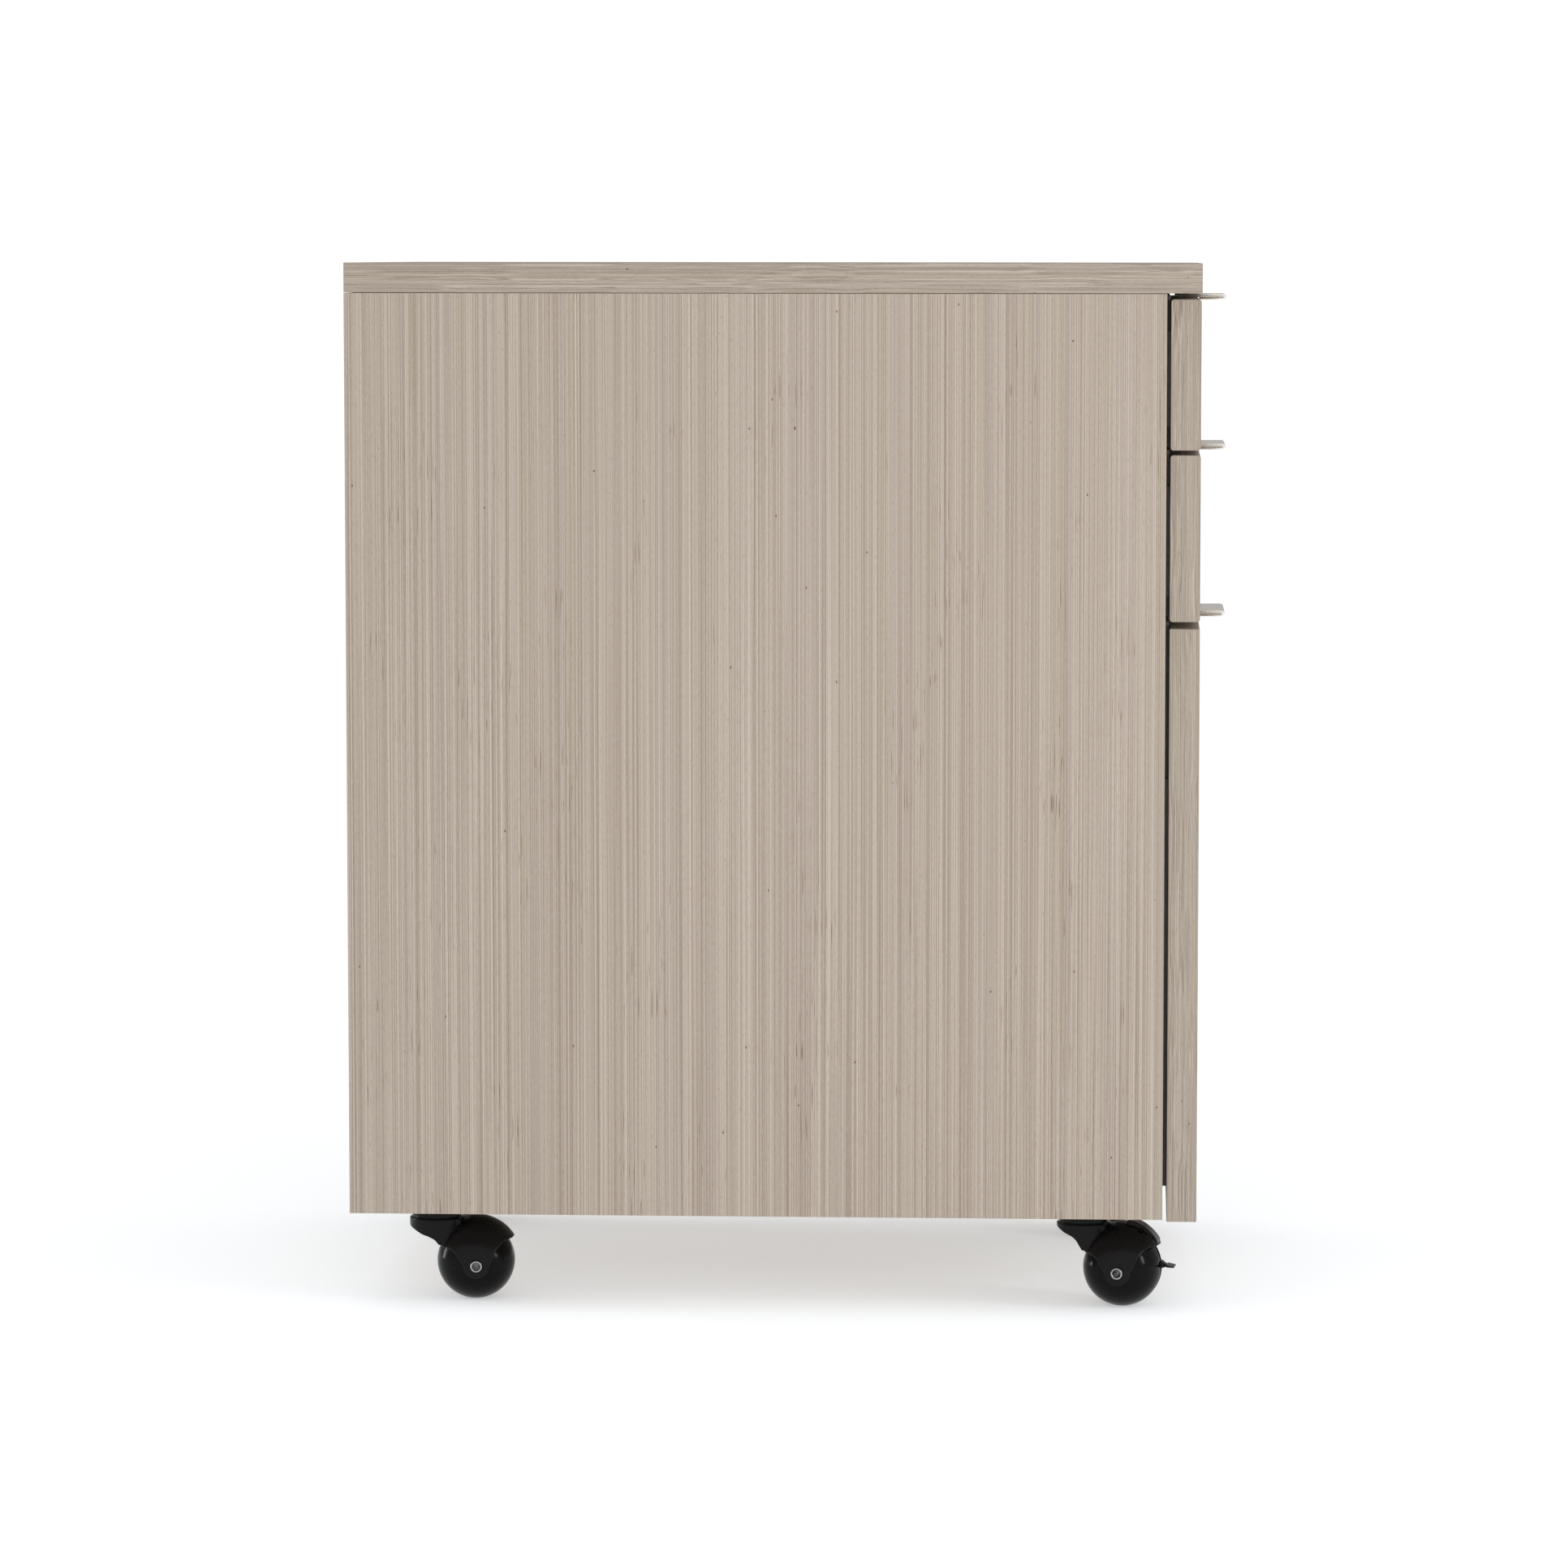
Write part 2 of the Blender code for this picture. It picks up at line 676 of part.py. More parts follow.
def lever_mesh():
    """Brake lever about its pivot: hub and stubs, arm down the groove, toe plate."""
    arm = arc(LEVER_OUTER, LEVER_TOP, LEVER_OUTER_END, 9)
    arm += ROOT_UPPER
    arm += [(TOE_START + TOE_LAP, TOE_TOP), (TOE_START + TOE_LAP, TOE_UNDER)]
    arm += ROOT_LOWER
    arm += arc(LEVER_INNER, LEVER_INNER_END, LEVER_TOP, 9)
    lever = prism("brake_lever", ahead(arm), -LEVER_HALF, LEVER_HALF)
    forward, up = brake_pivot()
    upper, lower = BRAKE_ANGLE + WEB_HALF, BRAKE_ANGLE - WEB_HALF
    web = arc(BRAKE_RADIUS, upper, lower, 1)
    web += arc(LEVER_INNER + WEB_LAP, lower, upper, 1)
    lever = combined(lever, prism("web", ahead(web), -LEVER_HALF, LEVER_HALF), "UNION")
    hub = cylinder("hub", HUB_RADIUS, -LEVER_HALF, LEVER_HALF, 16)
    stubs = cylinder("stubs", PIN_RADIUS, -PIN_HALF_LENGTH, PIN_HALF_LENGTH, 12)
    hub = combined(hub, stubs, "UNION")
    lever = combined(lever, moved(hub, y=-forward, z=up), "UNION")
    toe = (
        (TOE_START, TOE_TOP + SEAM), (TOE_TIP, TOE_TIP_HEIGHT),
        (TOE_TIP, TOE_TIP_HEIGHT - TOE_TIP_THICKNESS), (TOE_START, TOE_UNDER - SEAM),
    )
    lever = combined(lever, prism("toe", ahead(toe), -TOE_HALF, TOE_HALF), "UNION")
    return rounded(moved(lever, y=forward, z=-up))


def make_casters(finishes):
    plate = plate_mesh()
    axle = axle_mesh()
    hoods = {braked: hood_mesh(braked) for braked in (False, True)}
    balls = {braked: ball_mesh(braked) for braked in (False, True)}
    lever = lever_mesh()
    x = WIDTH / 2 - CASTER_INSET
    front_y = SIDE_FRONT_Y + CASTER_INSET
    rear_y = REAR_Y - CASTER_INSET
    for corner, side, end, turn in CASTERS:
        y = front_y if end < 0 else rear_y
        braked = end < 0
        place(f"caster_plate_{corner}", plate, finishes["steel"], (side * x, y, 0.0))
        swivel = empty(f"caster_swivel_{corner}", (side * x, y, 0.0), turn)
        place(f"caster_hood_{corner}", hoods[braked], finishes["hood"], parent=swivel)
        wheel_centre = (0.0, -TRAIL, BALL_RADIUS)
        place(f"caster_axle_{corner}", axle, finishes["axle"], wheel_centre, swivel)
        place(f"caster_ball_{corner}", balls[braked], finishes["ball"], wheel_centre, swivel)
        if braked:
            forward, up = brake_pivot()
            pivot = (0.0, -TRAIL - forward, BALL_RADIUS + up)
            place(f"brake_lever_{corner}", lever, finishes["hood"], pivot, swivel)


def main():
    for obj in list(bpy.data.objects):
        bpy.data.objects.remove(obj)
    finishes = {
        "laminate": material("grey_oak_laminate", (0.48, 0.41, 0.34), 0.55),
        "box": material("drawer_board", (0.33, 0.32, 0.30), 0.60),
        "steel": material("zinc_plated_steel", (0.62, 0.63, 0.64), 0.35, 1.0),
        "pull": material("satin_nickel", (0.66, 0.63, 0.58), 0.32, 1.0),
        "hood": material("black_gloss_plastic", (0.012, 0.012, 0.012), 0.25),
        "ball": material("black_ball_plastic", (0.018, 0.018, 0.018), 0.22),
        "axle": material("bright_steel", (0.72, 0.72, 0.72), 0.22, 1.0),
    }
    make_carcass(finishes["laminate"])
    make_drawers(finishes)
    make_casters(finishes)


main()
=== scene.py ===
"""Looks of the rolling pedestal cabinet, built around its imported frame.

Metres, +Z up, drawer fronts facing -Y, left at -X. Every piece is modelled in
the frame's own coordinates, so its Object texture coordinates are the frame's.
"""

import json
from math import atan2, cos, hypot, pi, radians, sin, sqrt

import bmesh
import bpy
from mathutils import Matrix, Vector


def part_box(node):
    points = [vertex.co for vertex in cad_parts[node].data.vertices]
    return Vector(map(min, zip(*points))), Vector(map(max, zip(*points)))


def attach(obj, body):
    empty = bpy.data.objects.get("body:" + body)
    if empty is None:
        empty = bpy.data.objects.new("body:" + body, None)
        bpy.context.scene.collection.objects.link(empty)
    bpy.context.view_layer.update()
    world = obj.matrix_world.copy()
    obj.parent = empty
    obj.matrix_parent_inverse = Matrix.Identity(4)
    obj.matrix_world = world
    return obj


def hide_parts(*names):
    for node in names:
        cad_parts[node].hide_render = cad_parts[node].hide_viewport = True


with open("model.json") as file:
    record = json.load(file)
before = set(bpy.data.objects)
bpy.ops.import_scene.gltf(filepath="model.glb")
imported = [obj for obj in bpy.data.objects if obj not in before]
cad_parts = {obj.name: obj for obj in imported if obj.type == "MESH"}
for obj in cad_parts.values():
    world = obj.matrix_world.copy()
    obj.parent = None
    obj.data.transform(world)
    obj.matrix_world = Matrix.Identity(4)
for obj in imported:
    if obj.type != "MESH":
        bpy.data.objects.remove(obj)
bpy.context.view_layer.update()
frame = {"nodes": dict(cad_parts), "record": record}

MM = 0.001
DRAWERS = ("top", "middle", "file")
SIDES = (("left", -1), ("right", 1))
CORNERS = ("front_left", "front_right", "rear_left", "rear_right")
X_TO_Z = Matrix.Rotation(-pi / 2, 4, "Y")
JOINTS = {joint["name"]: joint for joint in frame["record"]["behaviour"]["joints"]}


# Mesh tools -------------------------------------------------------------------

def finished(bm, name):
    bmesh.ops.recalc_face_normals(bm, faces=bm.faces)
    mesh = bpy.data.meshes.new(name)
    bm.to_mesh(mesh)
    bm.free()
    return mesh


def box_mesh(name, low, high):
    bm = bmesh.new()
    bmesh.ops.create_cube(bm, size=1.0)
    for vert in bm.verts:
        vert.co = [a + (b - a) * (c + 0.5) for a, b, c in zip(low, high, vert.co)]
    return finished(bm, name)


def prism_mesh(name, outline, start, end, axis="X"):
    """An outline in the YZ plane (axis X), XZ plane (Y) or XY plane (Z), extruded."""
    bm = bmesh.new()
    rings = []
    for reach in (start, end):
        ring = []
        for a, b in outline:
            place = {"X": (reach, a, b), "Y": (a, reach, b), "Z": (a, b, reach)}[axis]
            ring.append(bm.verts.new(place))
        rings.append(ring)
    first, last = rings
    for i in range(len(outline)):
        j = (i + 1) % len(outline)
        bm.faces.new((first[i], first[j], last[j], last[i]))
    bm.faces.new(first)
    bm.faces.new(last)
    return finished(bm, name)


def turned_mesh(name, profile, steps=48, closed=True):
    """A profile of (along, radius) points turned about the X axis. An open
    profile starts and ends on the axis."""
    bm = bmesh.new()
    poles = [] if closed else [bm.verts.new((profile[i][0], 0, 0)) for i in (0, -1)]
    body = profile if closed else profile[1:-1]
    rings = []
    for step in range(steps):
        angle = 2 * pi * step / steps
        ring = []
        for along, radius in body:
            ring.append(bm.verts.new((along, radius * cos(angle), radius * sin(angle))))
        rings.append(ring)
    count = len(body)
    for step in range(steps):
        here, there = rings[step], rings[(step + 1) % steps]
        for i in range(count if closed else count - 1):
            j = (i + 1) % count
            bm.faces.new((here[i], here[j], there[j], there[i]))
        if not closed:
            bm.faces.new((poles[0], here[0], there[0]))
            bm.faces.new((poles[1], there[-1], here[-1]))
    return finished(bm, name)


def ball_mesh(name, radius, steps):
    """A ball with its poles on the X axis."""
    bm = bmesh.new()
    bmesh.ops.create_uvsphere(bm, u_segments=steps, v_segments=steps // 2, radius=radius)
    for vert in bm.verts:
        vert.co = (vert.co.z, vert.co.y, -vert.co.x)
    return finished(bm, name)


def bar_mesh(name, radius, start, end, steps=32, axis="X"):
    mesh = turned_mesh(name, [(start, 0), (start, radius), (end, radius), (end, 0)], steps, False)
    if axis == "Z":
        mesh.transform(X_TO_Z)
    return mesh


def shifted(mesh, x=0.0, y=0.0, z=0.0):
    mesh.transform(Matrix.Translation((x, y, z)))
    return mesh


def combined(base, tool, operation):
    """Base with tool cut away (DIFFERENCE) or joined to it (UNION)."""
    objects = [bpy.data.objects.new(mesh.name, mesh) for mesh in (base, tool)]
    for obj in objects:
        bpy.context.scene.collection.objects.link(obj)
    cut = objects[0].modifiers.new("cut", "BOOLEAN")
    cut.operation = operation
    cut.solver = "EXACT"
    cut.object = objects[1]
    return applied(objects[0], objects[1])


def applied(obj, *others):
    """The object's evaluated mesh. The object and the others are removed."""
    depsgraph = bpy.context.evaluated_depsgraph_get()
    mesh = bpy.data.meshes.new_from_object(obj.evaluated_get(depsgraph))
    mesh.name = obj.name
    for each in (obj, *others):
        bpy.data.objects.remove(each)
    return mesh


def moulded(mesh, voxel, rounds):
    """The mesh with its edges softened as moulding softens them."""
    obj = bpy.data.objects.new(mesh.name, mesh)
    bpy.context.scene.collection.objects.link(obj)
    remesh = obj.modifiers.new("remesh", "REMESH")
    remesh.mode = "VOXEL"
    remesh.voxel_size = voxel
    relax = obj.modifiers.new("relax", "CORRECTIVE_SMOOTH")
    relax.iterations = rounds
    relax.factor = 0.5
    relax.use_only_smooth = True
    return applied(obj)


def arc(radius, start, end, steps, centre=(0.0, 0.0)):
    points = []
    for step in range(steps + 1):
        angle = start + (end - start) * step / steps
        points.append((centre[0] + radius * cos(angle), centre[1] + radius * sin(angle)))
    return points


def in_millimetres(points):
    return [(a * MM, b * MM) for a, b in points]


def ahead(points):
    """Turns (ahead, up) points into (y, z): ahead is -Y."""
    return [(-forward, up) for forward, up in points]


def bevelled(mesh, width, segments=3, angle=30, strip=None):
    """The mesh with its edges rounded. strip is the bevels' material index."""
    obj = bpy.data.objects.new(mesh.name, mesh)
    bpy.context.scene.collection.objects.link(obj)
    bevel = obj.modifiers.new("edges", "BEVEL")
    bevel.width = width
    bevel.segments = segments
    bevel.limit_method = "ANGLE"
    bevel.angle_limit = radians(angle)
    bevel.use_clamp_overlap = True
    if strip is not None:
        bevel.material = strip
    return applied(obj)


def piece(name, mesh, materials, body, sharp=40, replaces=()):
    """Puts a mesh into the scene as a piece that rides on a body."""
    mesh.materials.clear()
    for each in materials:
        mesh.materials.append(each)
    mesh.shade_smooth()
    mesh.set_sharp_from_angle(angle=radians(sharp))
    obj = bpy.data.objects.new(name, mesh)
    bpy.context.scene.collection.objects.link(obj)
    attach(obj, body)
    if replaces:
        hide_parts(*replaces)
    return obj


# Shader tools -----------------------------------------------------------------

class Shader:
    """A material's node tree, with short calls for the nodes used here."""

    def __init__(self, name):
        self.material = bpy.data.materials.new(name)
        self.material.use_nodes = True
        self.nodes = self.material.node_tree.nodes
        self.links = self.material.node_tree.links
        self.surface = self.nodes["Principled BSDF"]

    def add(self, kind, settings=None, **inputs):
        node = self.nodes.new(kind)
        for key, value in (settings or {}).items():
            setattr(node, key, value)
        for key, value in inputs.items():
            self.feed(node, key.replace("_", " "), value)
        return node

    def feed(self, node, key, value):
        """Links or sets an input by its name, or by its number as i0, i1 and so on."""
        numbered = key[0] == "i" and key[1:].isdigit()
        socket = node.inputs[int(key[1:]) if numbered else key]
        if hasattr(value, "is_output"):
            self.links.new(value, socket)
        else:
            socket.default_value = value

    def math(self, operation, a, b=0.0):
        return self.add("ShaderNodeMath", {"operation": operation}, i0=a, i1=b).outputs[0]

    def mix(self, factor, a, b, blend="MIX"):
        node = self.nodes.new("ShaderNodeMix")
        node.data_type = "RGBA"
        node.blend_type = blend
        for key, value in ((0, factor), (6, a), (7, b)):
            if hasattr(value, "is_output"):
                self.links.new(value, node.inputs[key])
            else:
                node.inputs[key].default_value = value
        return node.outputs[2]

    def ramp(self, value, low, high, to_low=0.0, to_high=1.0, smooth=True):
        """Maps low..high of value onto to_low..to_high."""
        node = self.add("ShaderNodeMapRange", i0=value, i1=low, i2=high, i3=to_low, i4=to_high)
        node.interpolation_type = "SMOOTHSTEP" if smooth else "LINEAR"
        return node.outputs[0]

    def coordinates(self, output="Object"):
        return self.add("ShaderNodeTexCoord").outputs[output]

    def split(self, vector):
        return self.add("ShaderNodeSeparateXYZ", i0=vector).outputs

    def join(self, x, y, z):
        return self.add("ShaderNodeCombineXYZ", i0=x, i1=y, i2=z).outputs[0]

    def scaled(self, vector, scale):
        node = self.nodes.new("ShaderNodeVectorMath")
        node.operation = "MULTIPLY"
        self.links.new(vector, node.inputs[0])
        node.inputs[1].default_value = scale
        return node.outputs[0]

    def shifted(self, vector, offset):
        node = self.nodes.new("ShaderNodeVectorMath")
        node.operation = "ADD"
        self.links.new(vector, node.inputs[0])
        node.inputs[1].default_value = offset
        return node.outputs[0]

    def noise(self, vector, scale=1.0, detail=2.0, roughness=0.5):
        node = self.add("ShaderNodeTexNoise", Vector=vector, Scale=scale, Detail=detail, Roughness=roughness)
        return node.outputs["Fac"] if "Fac" in node.outputs else node.outputs[0]

    def bump(self, height, strength, distance):
        return self.add("ShaderNodeBump", Height=height, Strength=strength, Distance=distance).outputs[0]


def srgb(red, green, blue):
    """A linear colour with alpha from sRGB levels out of 255."""
    linear = []
    for level in (red, green, blue):
        value = level / 255
        linear.append(value / 12.92 if value <= 0.04045 else ((value + 0.055) / 1.055) ** 2.4)
    return (*linear, 1.0)


# Materials --------------------------------------------------------------------

GRAIN_AXES = {"X": 0, "Y": 1, "Z": 2}
# The laminate's mean colour, as sRGB levels.
OAK = (162.5, 150, 138)


def laminate(name, along, cap=None, cap_along=None, ends=None, tone=1.0, offset=0.0):
    """Grey-oak laminate whose grain runs along an axis. Faces whose normal is
    the cap axis run along cap_along. Faces normal to ends are edge band, with a
    coarser and wavier figure."""
    shader = Shader(name)
    place = shader.shifted(shader.coordinates(), (offset, offset * 0.7, offset * 0.4))
    place = shader.scaled(place, (1000, 1000, 1000))
    parts = shader.split(place)
    normal = shader.split(shader.coordinates("Normal"))

    def facing(axis):
        size = shader.math("ABSOLUTE", normal[GRAIN_AXES[axis]])
        return shader.math("GREATER_THAN", size, 0.7)

    def run(axis):
        others = [parts[i] for i in range(3) if i != GRAIN_AXES[axis]]
        return shader.join(others[0], others[1], parts[GRAIN_AXES[axis]])

    vector = run(along)
    if cap:
        vector = shader.mix(facing(cap), vector, run(cap_along))
    band = facing(ends) if ends else 0.0

    # Slow sideways wander of the grain, in millimetres.
    wander = shader.noise(shader.scaled(vector, (0.008, 0.008, 0.0024)), 1.0, 1.0)
    bend = shader.ramp(wander, 0.0, 1.0, -0.5, 0.5, smooth=False)
    if ends:
        wave = shader.noise(shader.scaled(vector, (0.06, 0.06, 0.011)), 1.0, 1.5)
        extra = shader.ramp(wave, 0.2, 0.8, -1.1, 1.1, smooth=False)
        bend = shader.math("ADD", bend, shader.math("MULTIPLY", extra, band))
    flow = shader.split(vector)
    bent = shader.join(
        shader.math("ADD", flow[0], bend), shader.math("ADD", flow[1], bend), flow[2]
    )

    def streaks(width, length, seed, detail=0.0, roughness=0.5):
        """Noise drawn out along the grain: width and length are in millimetres."""
        moved = shader.scaled(bent, (1 / width, 1 / width, 1 / length))
        moved = shader.shifted(moved, (seed, seed * 1.7, seed * 0.3))
        return shader.noise(moved, 1.0, detail, roughness)

    def shade_of(red, green, blue):
        return srgb(red * tone, green * tone, blue * tone)

    plain = shade_of(*OAK)
    rosy = shade_of(OAK[0] + 0.6, OAK[1] - 0.4, OAK[2] + 1)
    sandy = shade_of(OAK[0] - 1, OAK[1] + 0.3, OAK[2] - 3.5)
    light = shade_of(OAK[0] + 27, OAK[1] + 28, OAK[2] + 27)
    dark = shade_of(OAK[0] - 36, OAK[1] - 39, OAK[2] - 41)
    brown = shade_of(OAK[0] - 70, OAK[1] - 86, OAK[2] - 96)

    hue = streaks(4, 1500, 3.1)
    colour = shader.mix(shader.ramp(hue, 0.52, 0.68, 0.0, 0.9), plain, rosy)
    colour = shader.mix(shader.ramp(hue, 0.46, 0.30, 0.0, 0.9), colour, sandy)
    broad = streaks(18, 900, 11.9, 1.0)
    colour = shader.mix(shader.ramp(broad, 0.50, 0.30, 0.0, 0.05), colour, dark)
    colour = shader.mix(shader.ramp(broad, 0.50, 0.72, 0.0, 0.04), colour, light)

    medium = streaks(1.15, 2000, 27.7)
    colour = shader.mix(shader.ramp(medium, 0.48, 0.27, 0.0, 0.12), colour, dark)
    colour = shader.mix(shader.ramp(medium, 0.54, 0.75, 0.0, 0.12), colour, light)
    fine = streaks(0.46, 1200, 8.3)
    colour = shader.mix(shader.ramp(fine, 0.47, 0.27, 0.0, 0.56), colour, dark)
    colour = shader.mix(shader.ramp(fine, 0.55, 0.74, 0.0, 0.52), colour, light)
    thin_light = shader.ramp(streaks(0.56, 1300, 41.0), 0.63, 0.73, 0.0, 0.60)
    colour = shader.mix(thin_light, colour, light)
    thin_dark = shader.ramp(streaks(0.56, 700, 67.0), 0.35, 0.26, 0.0, 0.58)
    colour = shader.mix(thin_dark, colour, dark)

    pores = streaks(0.42, 3.4, 90.0, 1.0)
    colour = shader.mix(shader.ramp(pores, 0.42, 0.26, 0.0, 0.34), colour, dark)
    colour = shader.mix(shader.ramp(pores, 0.58, 0.76, 0.0, 0.26), colour, light)
    stain = shader.math(
        "MULTIPLY",
        shader.ramp(streaks(0.8, 26, 120.0), 0.285, 0.22, 0.0, 0.6),
        shader.ramp(streaks(30, 90, 133.0), 0.60, 0.68),
    )
    colour = shader.mix(stain, colour, brown)
    speck = shader.noise(shader.scaled(vector, (0.42, 0.42, 0.22)), 1.0, 0.0)
    colour = shader.mix(shader.ramp(speck, 0.125, 0.105, 0.0, 0.85), colour, brown)

    if ends:
        figure = streaks(1.1, 260, 150.0, 1.0, 0.5)
        rings = shader.ramp(figure, 0.34, 0.66, 1.05, 0.88, smooth=False)
        change = shader.math("MULTIPLY", shader.math("SUBTRACT", rings, 1.0), band)
        shade = shader.math("ADD", change, 1.0)
        colour = shader.mix(1.0, colour, shader.join(shade, shade, shade), "MULTIPLY")

    shader.feed(shader.surface, "Base Color", colour)
    shader.feed(shader.surface, "Roughness", shader.ramp(fine, 0.3, 0.7, 0.60, 0.50))
    shader.surface.inputs["Specular IOR Level"].default_value = 0.32
    relief = shader.math("SUBTRACT", fine, shader.math("MULTIPLY", thin_dark, 0.6))
    shader.feed(shader.surface, "Normal", shader.bump(relief, 0.25, 0.00012))
    return shader.material


def highlight_strip(name, colour):
    """The rounded edge of an edge band, painted light cream with a faint mottle: a painted highlight along
    the rounding.
    """
    shader = Shader(name)
    place = shader.scaled(shader.coordinates(), (1000, 1000, 1000))
    mottle = shader.noise(place, 0.35, 3.0)
    lighter = tuple(min(1.0, level * 1.16) for level in colour[:3]) + (1.0,)
    shader.feed(shader.surface, "Base Color", shader.mix(mottle, colour, lighter))
    shader.surface.inputs["Roughness"].default_value = 0.5
    return shader.material


def melamine(name, colour):
    """Plain board with the fine pebble of melamine paper."""
    shader = Shader(name)
    place = shader.scaled(shader.coordinates(), (1000, 1000, 1000))
    pebble = shader.noise(place, 1.6, 3.0)
    clouds = shader.noise(place, 0.02, 2.0)
    darker = tuple(level * 0.90 for level in colour[:3]) + (1.0,)
    shade = shader.ramp(clouds, 0.3, 0.7)
    shader.feed(shader.surface, "Base Color", shader.mix(shade, colour, darker))
    shader.feed(shader.surface, "Roughness", shader.ramp(pebble, 0.3, 0.7, 0.50, 0.62))
    shader.feed(shader.surface, "Normal", shader.bump(pebble, 0.15, 0.0001))
    return shader.material


def metal(name, colour, rough_low, rough_high, stretch=(1, 1, 1), scale=1.0, relief=0.1, dip=0.86):
    """A metal whose brushing or rolling runs along the axis stretched least, and
    dips to a share of its colour between the strokes."""
    shader = Shader(name)
    place = shader.scaled(shader.coordinates(), tuple(1000 * each for each in stretch))
    brushing = shader.noise(place, scale, 4.0, 0.6)
    clouds = shader.noise(shader.scaled(shader.coordinates(), (1000, 1000, 1000)), 0.08, 2.0)
    darker = tuple(level * dip for level in colour[:3]) + (1.0,)
    shader.feed(shader.surface, "Base Color", shader.mix(shader.ramp(brushing, 0.3, 0.7), darker, colour))
    both = shader.math("ADD", brushing, shader.math("MULTIPLY", clouds, 0.5))
    shader.feed(shader.surface, "Roughness", shader.ramp(both, 0.45, 1.05, rough_low, rough_high))
    shader.surface.inputs["Metallic"].default_value = 1.0
    shader.feed(shader.surface, "Normal", shader.bump(brushing, relief, 0.00005))
    return shader.material


def gloss_plastic(name, colour, roughness, scuffs=0.0, specular=0.2):
    """Black moulded plastic: a faint flow texture, dust, and scuffs if it rolls."""
    shader = Shader(name)
    place = shader.scaled(shader.coordinates(), (1000, 1000, 1000))
    flow = shader.noise(place, 0.12, 3.0)
    dust = shader.ramp(shader.noise(place, 2.4, 1.0), 0.70, 0.78, 0.0, 0.10 + scuffs * 0.25)
    wear = shader.noise(shader.scaled(place, (0.9, 0.18, 0.9)), 1.0, 4.0, 0.7)
    worn = shader.ramp(wear, 0.60, 0.72, 0.0, scuffs)
    grey = srgb(118, 116, 113)
    base = shader.mix(dust, colour, grey)
    base = shader.mix(worn, base, grey)
    shader.feed(shader.surface, "Base Color", base)
    rough = shader.ramp(flow, 0.3, 0.7, roughness, roughness + 0.08)
    rough = shader.math("ADD", rough, shader.math("MULTIPLY", worn, 0.9))
    shader.feed(shader.surface, "Roughness", rough)
    shader.surface.inputs["Specular IOR Level"].default_value = specular
    shader.feed(shader.surface, "Normal", shader.bump(flow, 0.05, 0.0004))
    return shader.material


LAMINATE_SIDE = laminate("laminate_side", "Z", "Z", "Y")
LAMINATE_TOP = laminate("laminate_top", "Y", "Y", "X", ends="X", tone=0.973, offset=0.31)
LAMINATE_FRONT = laminate("laminate_front", "Z", "Z", "X", ends="X", tone=0.962, offset=0.57)
LAMINATE_BACK = laminate("laminate_back", "Z", "Z", "X", offset=0.83)
LAMINATE_BASE = laminate("laminate_base", "Y", "Y", "X", offset=1.13)
# Light cream for the rounded edges of the drawer fronts: a painted highlight.
BAND_HIGHLIGHT = highlight_strip("band_highlight", srgb(196, 170, 138))
DRAWER_BOARD = melamine("drawer_board", srgb(158, 155, 150))
SLIDE_STEEL = metal("slide_steel", srgb(205, 207, 209), 0.26, 0.42, (1, 0.02, 1), 1.2)
PLATE_STEEL = metal("plate_steel", srgb(200, 202, 205), 0.28, 0.45, (1, 1, 1), 0.4)
NICKEL = metal("satin_nickel", srgb(236, 231, 223), 0.22, 0.29, (0.03, 1, 1), 1.6, 0.02, 0.94)
RIVET_STEEL = metal("rivet_steel", srgb(165, 166, 167), 0.16, 0.28, (1, 1, 1), 0.8)
# Near-black steel for the inside of the rivet's hole: painted shade.
BORE_SHADE_STEEL = metal("bore_shade_steel", srgb(24, 24, 24), 0.55, 0.65, (1, 1, 1), 0.8)
SCREW_STEEL = metal("screw_steel", srgb(196, 197, 199), 0.24, 0.38, (1, 1, 1), 1.5)
HOOD_PLASTIC = gloss_plastic("hood_plastic", srgb(19, 18, 18), 0.20, specular=0.11)
BALL_PLASTIC = gloss_plastic("ball_plastic", srgb(9, 9, 9), 0.11, scuffs=0.06, specular=0.09)


# Boards -----------------------------------------------------------------------

BOARD_ROUND = 0.3 * MM
FRONT_ROUND = 0.5 * MM
# Corner radius of each drawer front's end profile.
FRONT_CORNERS = (1.8 * MM, 1.8 * MM, 0.8 * MM)


def board_piece(node, body, finish):
    """A board in a CAD node's box, with fine rounded edges."""
    low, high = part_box(node)
    mesh = bevelled(box_mesh(node, low, high), BOARD_ROUND, 3)
    return piece(f"{node}_board", mesh, (finish,), body, replaces=(node,))


def front_piece(drawer, corner):
    """A drawer front: an end profile with rounded corners and soft end edges."""
    node = f"{drawer}_drawer_front"
    low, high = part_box(node)
    points = []
    quarter = pi / 2
    for y, z, turn in ((high.y, high.z, 0), (low.y, high.z, 1), (low.y, low.z, 2), (high.y, low.z, 3)):
        centre = (
            y - corner if y == high.y else y + corner,
            z - corner if z == high.z else z + corner,
        )
        points += arc(corner, turn * quarter, (turn + 1) * quarter, 8, centre)
    mesh = prism_mesh(node, points, low.x, high.x)
    # The bevels take the second material, a painted highlight in light cream.
    mesh = bevelled(mesh, FRONT_ROUND, 2, angle=60, strip=1)
    piece(
        f"{node}_board", mesh, (LAMINATE_FRONT, BAND_HIGHLIGHT), f"{drawer}_drawer",
        replaces=(node,),
    )


def make_boards():
    board_piece("top_panel", "cabinet", LAMINATE_TOP)
    for side, _ in SIDES:
        board_piece(f"{side}_side_panel", "cabinet", LAMINATE_SIDE)
    board_piece("back_panel", "cabinet", LAMINATE_BACK)
    board_piece("bottom_panel", "cabinet", LAMINATE_BASE)
    for drawer, corner in zip(DRAWERS, FRONT_CORNERS):
        front_piece(drawer, corner)
        for part in ("box_front", "back"):
            board_piece(f"{drawer}_drawer_{part}", f"{drawer}_drawer", DRAWER_BOARD)


# Fasteners and fittings ---------------------------------------------------------

